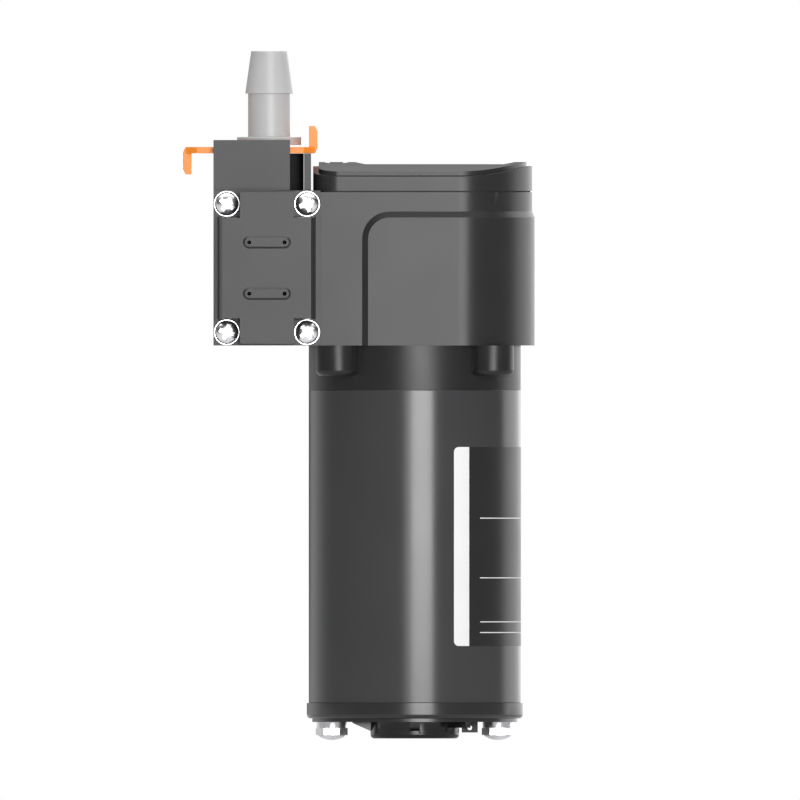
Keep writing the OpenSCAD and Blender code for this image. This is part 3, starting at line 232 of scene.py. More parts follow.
def object_point(tree: Tree) -> Socket:
    """Adds a Texture Coordinate node and returns its Object output."""
    return tree.nodes.new("ShaderNodeTexCoord").outputs["Object"]


@dataclass(frozen=True)
class SurfaceGrain(EffectGroup):
    """Fine texture of a moulded, cast or painted skin, and its slow unevenness."""

    name: str = "surface_grain"
    inputs: tuple[tuple[str, float], ...] = (("Grain mm", 0.3), ("Patch mm", 14.0))
    outputs: tuple[str, ...] = ("Height", "Patches")

    def build(self) -> Tree:
        """Builds two noises whose scales are given as sizes in millimetres.

        Returns:
            The group's node tree.
        """
        tree = self.new_tree()
        given, result = tree.nodes["Group Input"], tree.nodes["Group Output"]
        point = object_point(tree)
        for size, output, detail in (("Grain mm", "Height", 2.0), ("Patch mm", "Patches", 3.0)):
            scale = arithmetic(tree, "DIVIDE", 1 / MM, given.outputs[size])
            noise = place(tree, "ShaderNodeTexNoise", Detail=detail)
            link(tree, point, noise.inputs["Vector"])
            link(tree, scale, noise.inputs["Scale"])
            link(tree, noise.outputs["Fac"], result.inputs[output])
        return tree


@dataclass(frozen=True)
class EdgeRubAndSheen(EffectGroup):
    """Mask of edges lightened partly by rubbing and partly by a painted sheen, found where the surface turns sharply,
    broken up by noise.
    """

    name: str = "edge_rub_and_sheen"
    inputs: tuple[tuple[str, float], ...] = (("Reach mm", 0.4), ("Amount", 0.5))
    outputs: tuple[str, ...] = ("Mask",)
    edge_turn: tuple[float, float] = (0.995, 0.9)
    broken_range: tuple[float, float] = (0.35, 0.7)
    broken_mm: float = 2.5

    def build(self) -> Tree:
        """Compares the true normal with one rounded over the reach.

        Returns:
            The group's node tree.
        """
        tree = self.new_tree()
        given, result = tree.nodes["Group Input"], tree.nodes["Group Output"]
        rounded = place(tree, "ShaderNodeBevel", samples=4)
        link(tree, arithmetic(tree, "MULTIPLY", given.outputs["Reach mm"], MM), rounded.inputs["Radius"])
        flat = tree.nodes.new("ShaderNodeNewGeometry")
        turn = place(tree, "ShaderNodeVectorMath", operation="DOT_PRODUCT")
        link(tree, rounded.outputs["Normal"], turn.inputs[0])
        link(tree, flat.outputs["Normal"], turn.inputs[1])
        edge = remap(tree, turn.outputs["Value"], *self.edge_turn, 0.0, 1.0)
        noise = place(tree, "ShaderNodeTexNoise", Scale=1 / (self.broken_mm * MM), Detail=4.0)
        link(tree, object_point(tree), noise.inputs["Vector"])
        broken = remap(tree, noise.outputs["Fac"], *self.broken_range, 0.0, 1.0)
        mask = arithmetic(tree, "MULTIPLY", edge, broken)
        link(tree, arithmetic(tree, "MULTIPLY", mask, given.outputs["Amount"]), result.inputs["Mask"])
        return tree


GRAIN = SurfaceGrain()
RUB_AND_SHEEN = EdgeRubAndSheen()


# Finishes


@dataclass(frozen=True)
class Finish:
    """An opaque finish: colour, gloss, skin texture, and edges lightened partly by rubbing and partly by a painted
    sheen.
    """

    name: str
    colour: Colour
    roughness: float = 0.45
    roughness_spread: float = 0.05
    metallic: float = 0.0
    grain_mm: float = 0.3
    grain_height_mm: float = 0.004
    patch_mm: float = 14.0
    mottle: float = 0.06
    # The two fields below lighten sharp edges: partly wear, partly a painted sheen in place of light catching the
    # edges.
    rub_and_sheen: float = 0.0
    rub_and_sheen_colour: Colour = (0.2, 0.2, 0.2)
    specular: float = 0.5
    turned: Turned = Turned.NONE
    ring_share: float = 0.25
    ring_wobble: float = 1.5
    grain_in_rings: float = 0.3

    def principled(self, material: bpy.types.Material) -> bpy.types.Node:
        """Places the Principled shader with the values that are the same all over.

        Args:
            material: The material being built.

        Returns:
            The Principled node.
        """
        tree = material.node_tree
        tree.nodes.clear()
        shader = tree.nodes.new("ShaderNodeBsdfPrincipled")
        output = tree.nodes.new("ShaderNodeOutputMaterial")
        link(tree, shader.outputs["BSDF"], output.inputs["Surface"])
        shader.inputs["Metallic"].default_value = self.metallic
        shader.inputs["Specular IOR Level"].default_value = self.specular
        return shader

    def colour_socket(self, tree: Tree, patches: Socket) -> Socket:
        """Varies the colour slowly over the surface and lightens the sharp edges, partly as rubbing and partly as a
        painted sheen.

        Args:
            tree: The material's node tree.
            patches: The slow unevenness, from 0 to 1.

        Returns:
            The colour's socket.
        """
        ramp = place(tree, "ShaderNodeMix", data_type="RGBA")
        dark, light = 1 - self.mottle, 1 + self.mottle
        ramp.inputs["A"].default_value = (*(c * dark for c in self.colour), 1)
        ramp.inputs["B"].default_value = (*(min(1.0, c * light) for c in self.colour), 1)
        link(tree, remap(tree, patches, *MIDDLE_OF_NOISE, 0.0, 1.0), ramp.inputs["Factor"])
        if self.rub_and_sheen == 0:
            return ramp.outputs["Result"]
        # Lightens the sharp edges: partly rubbing, partly a painted sheen.
        rub_and_sheen_mix = place(tree, "ShaderNodeMix", data_type="RGBA")
        rub_and_sheen_mix.inputs["B"].default_value = (*self.rub_and_sheen_colour, 1)
        link(tree, ramp.outputs["Result"], rub_and_sheen_mix.inputs["A"])
        link(tree, RUB_AND_SHEEN.use(tree, Amount=self.rub_and_sheen).outputs["Mask"], rub_and_sheen_mix.inputs["Factor"])
        return rub_and_sheen_mix.outputs["Result"]

    def height_socket(self, tree: Tree, grain: Socket) -> Socket:
        """Gives the bump height in units of the grain height.

        Args:
            tree: The material's node tree.
            grain: The fine noise, from 0 to 1.

        Returns:
            The height's socket.
        """
        if self.turned is Turned.NONE:
            return grain
        rings = place(tree, "ShaderNodeTexWave", wave_type="BANDS", bands_direction="Z")
        rings.inputs["Scale"].default_value = self.ring_share / (self.grain_mm * MM)
        rings.inputs["Distortion"].default_value = self.ring_wobble
        link(tree, object_point(tree), rings.inputs["Vector"])
        return arithmetic(tree, "ADD", rings.outputs["Fac"], arithmetic(tree, "MULTIPLY", grain, self.grain_in_rings))

    def material(self) -> bpy.types.Material:
        """Finds the material, or builds it on first use.

        Returns:
            The material.
        """
        found = bpy.data.materials.get(self.name)
        if found:
            return found
        material = bpy.data.materials.new(self.name)
        material.use_nodes = True
        tree = material.node_tree
        shader = self.principled(material)
        grain = GRAIN.use(tree, Grain_mm=self.grain_mm, Patch_mm=self.patch_mm)
        link(tree, self.colour_socket(tree, grain.outputs["Patches"]), shader.inputs["Base Color"])
        low, high = self.roughness - self.roughness_spread, self.roughness + self.roughness_spread
        roughness = remap(tree, grain.outputs["Patches"], *MIDDLE_OF_NOISE, low, high)
        link(tree, roughness, shader.inputs["Roughness"])
        bump = place(tree, "ShaderNodeBump", Strength=1.0, Distance=self.grain_height_mm * MM)
        link(tree, self.height_socket(tree, grain.outputs["Height"]), bump.inputs["Height"])
        link(tree, bump.outputs["Normal"], shader.inputs["Normal"])
        return material


@dataclass(frozen=True)
class Translucent(Finish):
    """Plastic that scatters light under its skin."""

    scatter: float = 0.7
    scatter_mm: float = 2.0
    ior: float = 1.48

    def principled(self, material: bpy.types.Material) -> bpy.types.Node:
        """Adds scattering to the plain shader.

        Args:
            material: The material being built.

        Returns:
            The Principled node.
        """
        shader = super().principled(material)
        shader.inputs["Subsurface Weight"].default_value = self.scatter
        shader.inputs["Subsurface Radius"].default_value = (1.0, 1.0, 1.0)
        shader.inputs["Subsurface Scale"].default_value = self.scatter_mm * MM
        shader.inputs["IOR"].default_value = self.ior
        return shader


# Where a finish lightens its edges, this is partly wear and partly a painted sheen on the edges.
CAN_PAINT = Finish("black_can_paint", (0.043, 0.043, 0.045), 0.19, 0.01, grain_mm=1.6, grain_height_mm=0.001,
                   patch_mm=25, mottle=0.02)
BELL_CAST = Finish("black_cast_bell", (0.015, 0.015, 0.016), 0.34, 0.02, grain_mm=0.5, grain_height_mm=0.003,
                   mottle=0.08, rub_and_sheen=0.15, rub_and_sheen_colour=(0.06, 0.06, 0.06), specular=0.36)
CAP_MOULD = Finish("black_end_cap", (0.012, 0.012, 0.013), 0.2, 0.02, grain_mm=0.4, grain_height_mm=0.002,
                   mottle=0.06, rub_and_sheen=0.15, rub_and_sheen_colour=(0.06, 0.06, 0.06), specular=0.68)
CASE_MOULD = Finish("grey_crankcase_mould", (0.0235, 0.0235, 0.0245), 0.31, 0.01, grain_mm=0.25,
                    grain_height_mm=0.001, mottle=0.04, rub_and_sheen=0.1, rub_and_sheen_colour=(0.07, 0.07, 0.07), specular=0.29)
HEAD_MOULD = Finish("grey_head_mould", (0.028, 0.028, 0.029), 0.4, 0.01, grain_mm=0.25, grain_height_mm=0.001,
                    mottle=0.04, rub_and_sheen=0.1, rub_and_sheen_colour=(0.08, 0.08, 0.08), specular=0.38)
ORANGE_CLIP = Translucent("orange_clip_mould", (0.93, 0.28, 0.02), 0.42, 0.03, grain_mm=0.5, grain_height_mm=0.002,
                          mottle=0.02, scatter=0.3, scatter_mm=0.6)
BARB_MILKY = Translucent("milky_barb_mould", (0.53, 0.53, 0.532), 0.38, 0.03, grain_mm=0.8, grain_height_mm=0.001,
                         mottle=0.02, scatter=0.85, scatter_mm=1.0)
BLACK_RUBBER = Finish("black_rubber", (0.02, 0.02, 0.02), 0.7, 0.05, grain_mm=0.2, grain_height_mm=0.006)
RED_RUBBER = Finish("red_brown_rubber", (0.45, 0.12, 0.06), 0.6, 0.05, grain_mm=0.2, grain_height_mm=0.005)
BRIGHT_ZINC = Finish("bright_zinc_screws", (0.86, 0.86, 0.88), 0.3, 0.05, 1.0, grain_mm=0.25,
                     grain_height_mm=0.002, patch_mm=2.5, mottle=0.06, rub_and_sheen=0.3, rub_and_sheen_colour=(0.95, 0.95, 0.96))
GROUND_STEEL = Finish("ground_steel", (0.55, 0.55, 0.57), 0.25, 0.06, 1.0, grain_mm=0.3, grain_height_mm=0.003,
                      turned=Turned.ALONG_AXIS)
LAMINATED_STEEL = Finish("laminated_core_steel", (0.3, 0.3, 0.32), 0.4, 0.08, 1.0, grain_mm=0.5,
                         grain_height_mm=0.05, turned=Turned.ALONG_AXIS)
ENAMELLED_COPPER = Finish("enamelled_copper", (0.6, 0.2, 0.08), 0.3, 0.05, 0.8, grain_mm=0.6,
                          grain_height_mm=0.08, turned=Turned.ALONG_AXIS)
BAR_COPPER = Finish("commutator_copper", (0.75, 0.36, 0.2), 0.25, 0.08, 1.0, grain_mm=0.3, grain_height_mm=0.002)
CAST_ALLOY = Finish("die_cast_alloy", (0.6, 0.6, 0.6), 0.42, 0.08, 1.0, grain_mm=0.4, grain_height_mm=0.015)
DULL_TIN = Finish("dull_tin_plate", (0.08, 0.08, 0.085), 0.5, 0.06, 1.0, grain_mm=0.3, grain_height_mm=0.002)
# Painted shade: the groove round each switch screw head gets this near-black colour in place of the shade of a recess.
SCREW_GROOVE_PAINTED_SHADE = Finish("screw_groove_painted_shade", (0.012, 0.012, 0.013), 0.6, 0.05, grain_mm=0.2, grain_height_mm=0.003)
# Painted shade: the switch terminals are made near-black and dull so that their ends read as the shaded holes they sit
# in.
PIN_PAINTED_SHADE = Finish("pin_painted_shade", (0.03, 0.027, 0.024), 0.6, 0.05, grain_mm=0.3, grain_height_mm=0.002)
PALE_FLOOR = Finish("pale_floor", (0.82, 0.82, 0.82), 0.9, 0.05, grain_mm=3, patch_mm=400, mottle=0.01,
                    specular=0.0)
FERRITE = Finish("magnet_ferrite", (0.09, 0.09, 0.1), 0.6, 0.08, grain_mm=0.3, grain_height_mm=0.01)
CARBON = Finish("brush_carbon", (0.04, 0.04, 0.04), 0.5, 0.08, grain_mm=0.2, grain_height_mm=0.006)
WHITE_NYLON = Finish("white_nylon", (0.75, 0.74, 0.7), 0.45, 0.04, grain_mm=0.3, grain_height_mm=0.002)
BLACK_MOULD = Finish("black_inner_mould", (0.03, 0.03, 0.032), 0.45, 0.04, grain_mm=0.3, grain_height_mm=0.003)
RED_MOULD = Finish("red_button_mould", (0.55, 0.05, 0.04), 0.35, 0.04, grain_mm=0.3, grain_height_mm=0.002)
LABEL_WHITE = Finish("label_white_film", (0.86, 0.86, 0.86), 0.35, 0.03, grain_mm=0.6, grain_height_mm=0.001,
                     mottle=0.01)
LABEL_BLACK = Finish("label_black_print", (0.014, 0.014, 0.015), 0.3, 0.02, grain_mm=0.6, grain_height_mm=0.001,
                     mottle=0.03)


# Dressing of the solids


def smooth_group() -> Tree:
    """Makes the geometry group that shades smooth and keeps edges over an angle sharp.

    Returns:
        The group's node tree.
    """
    name = "smooth_under_angle"
    found = bpy.data.node_groups.get(name)
    if found:
        return found
    tree = bpy.data.node_groups.new(name, "GeometryNodeTree")
    tree.interface.new_socket("Geometry", in_out="INPUT", socket_type="NodeSocketGeometry")
    tree.interface.new_socket("Geometry", in_out="OUTPUT", socket_type="NodeSocketGeometry")
    start, end = tree.nodes.new("NodeGroupInput"), tree.nodes.new("NodeGroupOutput")
    angle = tree.nodes.new("GeometryNodeInputMeshEdgeAngle")
    compare = place(tree, "FunctionNodeCompare", operation="LESS_THAN")
    link(tree, angle.outputs["Unsigned Angle"], compare.inputs["A"])
    compare.inputs["B"].default_value = math.radians(SMOOTH_LIMIT)
    faces = place(tree, "GeometryNodeSetShadeSmooth", domain="FACE")
    edges = place(tree, "GeometryNodeSetShadeSmooth", domain="EDGE")
    link(tree, start.outputs[0], faces.inputs["Geometry"])
    link(tree, faces.outputs["Geometry"], edges.inputs["Geometry"])
    link(tree, compare.outputs["Result"], edges.inputs["Shade Smooth"])
    link(tree, edges.outputs["Geometry"], end.inputs[0])
    return tree


def shade_smooth(piece: bpy.types.Object) -> None:
    """Adds the modifier that shades a piece smooth and keeps its edges."""
    smooth = piece.modifiers.new("smooth", "NODES")
    smooth.node_group = smooth_group()


def round_edges(piece: bpy.types.Object, edge: Edge) -> None:
    """Adds the modifiers that give a piece its edge radius and smooth shading.

    Args:
        piece: A solid from the frame, or a piece made here.
        edge: Size of the radius.
    """
    weld = piece.modifiers.new("weld", "WELD")
    weld.merge_threshold = WELD_MM * MM
    flat = piece.modifiers.new("flat_faces", "DECIMATE")
    flat.decimate_type = "DISSOLVE"
    flat.angle_limit = math.radians(FLAT_LIMIT)
    if edge is not Edge.SHARP:
        bevel = piece.modifiers.new("edge_radius", "BEVEL")
        bevel.width = edge.value * MM
        bevel.segments = BEVEL_STEPS
        bevel.limit_method = "ANGLE"
        bevel.angle_limit = math.radians(BEVEL_LIMIT)
        bevel.use_clamp_overlap = True
        bevel.miter_outer = "MITER_ARC"
    shade_smooth(piece)
    weighted = piece.modifiers.new("weighted", "WEIGHTED_NORMAL")
    weighted.keep_sharp = True


def give_material(piece: bpy.types.Object, finish: Finish) -> None:
    """Gives a piece one finish all over.

    Args:
        piece: The object.
        finish: The finish.
    """
    material = finish.material()
    if piece.material_slots:
        for material_slot in piece.material_slots:
            material_slot.material = material
    else:
        piece.data.materials.append(material)


@dataclass(frozen=True)
class Dress:
    """The finish and edge radius of a solid from the frame."""

    finish: Finish
    edge: Edge = Edge.SHARP

    def put_on(self, node: str) -> None:
        """Dresses one node.

        Args:
            node: Name of the node.
        """
        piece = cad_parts[node]
        give_material(piece, self.finish)
        round_edges(piece, self.edge)
        LOG.info("dressed %s with %s", node, self.finish.name)


class SubAssembly:
    """A group of nodes that are dressed together."""

    nodes: dict[str, Dress]

    def dress(self) -> None:
        """Dresses every node of the group."""
        for node, dress in self.nodes.items():
            dress.put_on(node)

    def build(self) -> None:
        """Dresses the nodes. A group that adds pieces does so here too."""
        self.dress()


# Pieces made in mesh code


def new_piece(name: str, work: bmesh.types.BMesh, finish: Finish, body: str = ROOT_BODY) -> bpy.types.Object:
    """Turns a bmesh into an object that rides on a body.

    Args:
        name: Name of the piece.
        work: The mesh, in metres in the row frame. It is freed here.
        finish: Finish of the piece.
        body: Body that it rides on.

    Returns:
        The object.
    """
    bmesh.ops.recalc_face_normals(work, faces=work.faces)
    mesh = bpy.data.meshes.new(name)
    work.to_mesh(mesh)
    work.free()
    piece = bpy.data.objects.new(name, mesh)
    bpy.context.scene.collection.objects.link(piece)
    give_material(piece, finish)
    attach(piece, body)
    LOG.info("made %s with %d faces", name, len(mesh.polygons))
    return piece


def skin_rows(work: bmesh.types.BMesh, rows: Sequence[Sequence[Vector]], closed: bool = False) -> None:
    """Skins a grid of points with quads.

    Args:
        work: The mesh that takes the quads.
        rows: Rows of points, all of one length.
        closed: Whether the last point of each row joins the first.
    """
    grid = [[work.verts.new(point) for point in row] for row in rows]
    width = len(grid[0])
    columns = range(width if closed else width - 1)
    for lower, upper in zip(grid, grid[1:]):
        for i in columns:
            j = (i + 1) % width
            work.faces.new((lower[i], lower[j], upper[j], upper[i]))


@dataclass
class MotorLabel:
    """The film label on the motor can: a white stripe, a black panel and thin white rules."""

    thickness: float = 0.08
    low: float = 27.75
    high: float = 87.45
    stripe_from: float = 21.7
    stripe_to: float = 30.8
    panel_to: float = 118.0
    corner: float = 1.5
    rule_from: float = 37.9
    rule_to: float = 108.0
    rule_width: float = 0.27
    rules: tuple[float, ...] = (66.1, 48.2, 35.0, 31.8)
    step: float = 1.0
    corner_steps: int = 6
    merge: float = 0.0005

    def can_radius(self) -> float:
        """Outer radius of the motor can in millimetres."""
        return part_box("motor_can")[1].x / MM

    def on_can(self, angle: float, height: float, lift: float) -> Vector:
        """Point over the can's surface.

        Args:
            angle: Degrees from -Y towards +X.
            height: Height in millimetres.
            lift: Distance above the paint in millimetres.

        Returns:
            The point in metres.
        """
        radius = (self.can_radius() + lift) * MM
        turn = math.radians(angle)
        return Vector((radius * math.sin(turn), -radius * math.cos(turn), height * MM))

    def corner_inset(self, arc: float) -> float:
        """How far a rounded corner pulls the edge in.

        Args:
            arc: Distance from the end of the sheet, in millimetres.

        Returns:
            The inset in millimetres.
        """
        corner = self.corner
        if arc >= corner:
            return 0.0
        return corner - math.sqrt(corner * corner - (corner - arc) ** 2)

    def angles(self, start: float, end: float) -> list[float]:
        """Angles of the columns of a sheet, closer together at its rounded ends.

        Args:
            start: First angle in degrees.
            end: Last angle in degrees.

        Returns:
            The angles.
        """
        reach = math.degrees(self.corner / self.can_radius())
        steps = self.corner_steps
        fine = [reach * (1 - math.cos(math.pi / 2 * i / steps)) for i in range(steps + 1)]
        middle_count = max(1, round((end - start - 2 * reach) / self.step))
        middle = [start + reach + (end - start - 2 * reach) * i / middle_count for i in range(1, middle_count)]
        return [start + f for f in fine] + middle + [end - f for f in reversed(fine)]

    def sheet(self, start: float, end: float, low: float, high: float, lift: float, round_start: bool,
              round_end: bool) -> bmesh.types.BMesh:
        """Makes a thin closed sheet bent round the can.

        Args:
            start: First angle in degrees.
            end: Last angle in degrees.
            low: Lower edge in millimetres.
            high: Upper edge in millimetres.
            lift: Height of its inner face above the paint.
            round_start: Whether the corners at the first angle are round.
            round_end: Whether the corners at the last angle are round.

        Returns:
            The mesh.
        """
        work = bmesh.new()
        rows: list[list[Vector]] = [[], [], [], []]
        to_mm = math.radians(1) * self.can_radius()
        for angle in self.angles(start, end):
            inset = 0.0
            if round_start:
                inset = max(inset, self.corner_inset((angle - start) * to_mm))
            if round_end:
                inset = max(inset, self.corner_inset((end - angle) * to_mm))
            for row, height, out in ((0, low + inset, 0.0), (1, low + inset, self.thickness),
                                     (2, high - inset, self.thickness), (3, high - inset, 0.0)):
                rows[row].append(self.on_can(angle, height, lift + out))
        skin_rows(work, [*rows, rows[0]])
        bmesh.ops.remove_doubles(work, verts=work.verts, dist=self.merge * MM)
        bmesh.ops.holes_fill(work, edges=work.edges)
        return work

    def build(self) -> None:
        """Makes the three pieces of the label."""
        seam = self.stripe_to
        stripe = self.sheet(self.stripe_from, seam, self.low, self.high, 0.0, True, False)
        panel = self.sheet(seam, self.panel_to, self.low, self.high, 0.0, False, True)
        rules = bmesh.new()
        for height in self.rules:
            half = self.rule_width / 2
            rule = self.sheet(self.rule_from, self.rule_to, height - half, height + half, self.thickness / 2, False,
                              False)
            part = bpy.data.meshes.new("rule")
            rule.to_mesh(part)
            rule.free()
            rules.from_mesh(part)
            bpy.data.meshes.remove(part)
        for name, work, finish in (("label_stripe", stripe, LABEL_WHITE), ("label_panel", panel, LABEL_BLACK),
                                   ("label_rules", rules, LABEL_WHITE)):
            shade_smooth(new_piece(name, work, finish))


class Motor(SubAssembly):
    """The motor: can, end cap, bell, bolts, and what turns inside."""

    nodes = {
        "motor_can": Dress(CAN_PAINT, Edge.CRISP),
        "rear_end_cap": Dress(CAP_MOULD, Edge.CRISP),
        "front_bell": Dress(BELL_CAST, Edge.MOULDED),
        "field_magnets": Dress(FERRITE),
        "motor_shaft": Dress(GROUND_STEEL, Edge.MOULDED),
        "armature_core": Dress(LAMINATED_STEEL),
        "armature_windings": Dress(ENAMELLED_COPPER, Edge.SOFT),
        "commutator": Dress(BAR_COPPER),
        "brush_holder": Dress(BLACK_MOULD),
        "brushes": Dress(CARBON),
        "brush_springs": Dress(GROUND_STEEL),
        "through_bolts": Dress(BRIGHT_ZINC, Edge.CRISP),
        "motor_terminals": Dress(DULL_TIN, Edge.FINE),
        "rear_bearing_outer": Dress(GROUND_STEEL, Edge.CRISP),
        "rear_bearing_inner": Dress(GROUND_STEEL),
        "front_bearing_outer": Dress(GROUND_STEEL, Edge.CRISP),
        "front_bearing_inner": Dress(GROUND_STEEL),
    }

    def build(self) -> None:
        """Dresses the nodes and puts the label on the can."""
        self.dress()
        MotorLabel().build()


class CrankDrive(SubAssembly):
    """The crankcase, its cover, and the crank parts inside."""

    nodes = {
        "crankcase": Dress(CASE_MOULD, Edge.CRISP),
        "crankcase_cover": Dress(CASE_MOULD, Edge.CRISP),
        "cover_gasket": Dress(BLACK_RUBBER),
        "case_screws": Dress(BRIGHT_ZINC, Edge.FINE),
        "cover_screws": Dress(BRIGHT_ZINC, Edge.FINE),
        "eccentric_lower": Dress(GROUND_STEEL, Edge.CRISP),
        "eccentric_upper": Dress(GROUND_STEEL, Edge.CRISP),
        "rod_bearing_outer_lower": Dress(GROUND_STEEL, Edge.CRISP),
        "rod_bearing_outer_upper": Dress(GROUND_STEEL, Edge.CRISP),
        "rod_bearing_inner_lower": Dress(GROUND_STEEL),
        "rod_bearing_inner_upper": Dress(GROUND_STEEL),
        "top_bearing_outer": Dress(GROUND_STEEL, Edge.FINE),
        "top_bearing_inner": Dress(GROUND_STEEL),
        "rod_lower": Dress(CAST_ALLOY, Edge.CRISP),
        "rod_upper": Dress(CAST_ALLOY, Edge.CRISP),
        "piston_lower": Dress(CAST_ALLOY, Edge.FINE),
        "piston_upper": Dress(CAST_ALLOY, Edge.FINE),
        "piston_screw_lower": Dress(BRIGHT_ZINC, Edge.FINE),
        "piston_screw_upper": Dress(BRIGHT_ZINC, Edge.FINE),
    }


class PumpHead(SubAssembly):
    """The head: clamp plate, diaphragm, valves, manifold and its screws."""

    nodes = {
        "diaphragm": Dress(BLACK_RUBBER, Edge.FINE),
        "clamp_plate": Dress(HEAD_MOULD, Edge.FINE),
        "valve_plate": Dress(HEAD_MOULD, Edge.FINE),
        "inlet_valves": Dress(RED_RUBBER),
        "outlet_valves": Dress(RED_RUBBER),
        "manifold": Dress(HEAD_MOULD, Edge.CRISP),
        "head_screws": Dress(BRIGHT_ZINC, Edge.FINE),
    }


class Ports(SubAssembly):
    """The two hose ports: barb, O-ring and slide clip."""

    nodes = {
        "outlet_barb": Dress(BARB_MILKY, Edge.CRISP),
        "inlet_barb": Dress(BARB_MILKY, Edge.CRISP),
        "outlet_o_ring": Dress(BLACK_RUBBER),
        "inlet_o_ring": Dress(BLACK_RUBBER),
        "outlet_clip": Dress(ORANGE_CLIP, Edge.CRISP),
        "inlet_clip": Dress(ORANGE_CLIP, Edge.CRISP),
    }


@dataclass
class CrossScrew:
    """A pan-head screw with a loose washer and a cross recess, made at the origin with its head along -Y."""

    washer_r: float = 3.9
    washer_t: float = 0.8
    washer_edge: float = 0.12
    edge_share: float = 0.3
    washer_bore: float = 3.58
    groove: float = 0.5
    groove_margin: float = 0.02
    head_r: float = 3.28
    head_h: float = 1.9
    rim_h: float = 0.5
    rim_low: float = 0.15
    flat_r: float = 0.3
    shank_r: float = 1.5
    shank_len: float = 6.8
    wing_r: float = 2.75
    wing_half: float = 0.78
    wing_root: float = 2.3
    wing_taper: float = 0.8
    recess: float = 1.1
    cut_over: float = 0.3
    turn: float = 18.0
    rings: int = 12
    sides: int = 72
    merge: float = 0.001

    def profile(self) -> list[tuple[float, float]]:
        """Radius and height of the turned outline, from the top centre to the shank's end.

        Returns:
            Points in millimetres; heights are above the washer's seat.
        """
        top = self.washer_t + self.head_h
        dome = [(0.0, top)]
        for i in range(self.rings + 1):
            turn = math.pi / 2 * i / self.rings
            radius = self.flat_r + (self.head_r - self.flat_r) * math.sin(turn)
            dome.append((radius, self.washer_t + self.rim_h + (self.head_h - self.rim_h) * math.cos(turn)))
        edge, cut = self.washer_edge, self.washer_edge * self.edge_share
        middle = (self.head_r + self.washer_bore) / 2
        return dome + [
            (self.head_r, self.washer_t + self.rim_low), (middle, self.washer_t - self.groove),
            (self.washer_bore, self.washer_t), (self.washer_r - edge, self.washer_t),
            (self.washer_r - cut, self.washer_t - cut), (self.washer_r, self.washer_t - edge),
            (self.washer_r, 0.0), (self.shank_r, 0.0), (self.shank_r, -self.shank_len), (0.0, -self.shank_len)]

    def turned_body(self) -> bpy.types.Object:
        """Makes the turned screw and washer.

        Returns:
            A scratch object.
        """
        work = bmesh.new()
        rows = []
        for radius, height in self.profile():
            rows.append([Vector((radius * math.cos(a), -height, radius * math.sin(a))) * MM
                         for a in (2 * math.pi * i / self.sides for i in range(self.sides))])
        skin_rows(work, rows, closed=True)
        bmesh.ops.remove_doubles(work, verts=work.verts, dist=self.merge * MM)
        bmesh.ops.recalc_face_normals(work, faces=work.faces)
        return scratch_object("screw_body", work)

    def cross_cutter(self) -> bpy.types.Object:
        """Makes the cross that is cut into the head: two wedges that narrow downwards.

        Returns:
            A scratch object.
        """
        work = bmesh.new()
        top = self.washer_t + self.head_h + self.cut_over
        bottom = self.washer_t + self.head_h - self.recess
        for turn in (self.turn, self.turn + 90):
            spin = Matrix.Rotation(math.radians(turn), 4, "Y")
            corners = []
            for height, length, half in ((top, self.wing_r, self.wing_half),
                                         (bottom, self.wing_root, self.wing_half * self.wing_taper)):
                corners.append([work.verts.new(spin @ Vector((x, -height, z)) * MM)
                                for x, z in ((-length, -half), (length, -half), (length, half), (-length, half))])
            upper, lower = corners
            work.faces.new(upper)
            work.faces.new(lower[::-1])
            for i in range(4):
                j = (i + 1) % 4
                work.faces.new((upper[j], upper[i], lower[i], lower[j]))
        bmesh.ops.recalc_face_normals(work, faces=work.faces)
        return scratch_object("screw_cross", work)

    def mesh(self) -> bpy.types.Mesh:
        """Cuts the cross into the turned body.

        Returns:
            The finished mesh of one screw.
        """
        body, cutter = self.turned_body(), self.cross_cutter()
        cut = body.modifiers.new("cross", "BOOLEAN")
        cut.operation = "DIFFERENCE"
        cut.solver = "EXACT"
        cut.use_self = True
        cut.object = cutter
        ready = body.evaluated_get(bpy.context.evaluated_depsgraph_get())
        mesh = bpy.data.meshes.new_from_object(ready)
        for scratch in (body, cutter):
            bpy.data.objects.remove(scratch)
        self.mark_groove_painted_shade(mesh)
        return mesh

    def mark_groove_painted_shade(self, mesh: bpy.types.Mesh) -> None:
        """Gives the faces of the groove round the head the second material slot, which paints shade into the groove.

        Args:
            mesh: The screw's mesh.
        """
        for face in mesh.polygons:
            radius = math.hypot(face.center.x, face.center.z) / MM
            height = -face.center.y / MM
            between = self.head_r - self.groove_margin < radius < self.washer_bore
            face.material_index = int(between and 0 < height < self.washer_t + self.rim_low)


def scratch_object(name: str, work: bmesh.types.BMesh) -> bpy.types.Object:
    """Makes a short-lived object out of a bmesh.

    Args:
        name: Name of the object.
        work: The mesh. It is freed here.

    Returns:
        The object.
    """
    mesh = bpy.data.meshes.new(name)
    work.to_mesh(mesh)
    work.free()
    scratch = bpy.data.objects.new(name, mesh)
    bpy.context.scene.collection.objects.link(scratch)
    return scratch


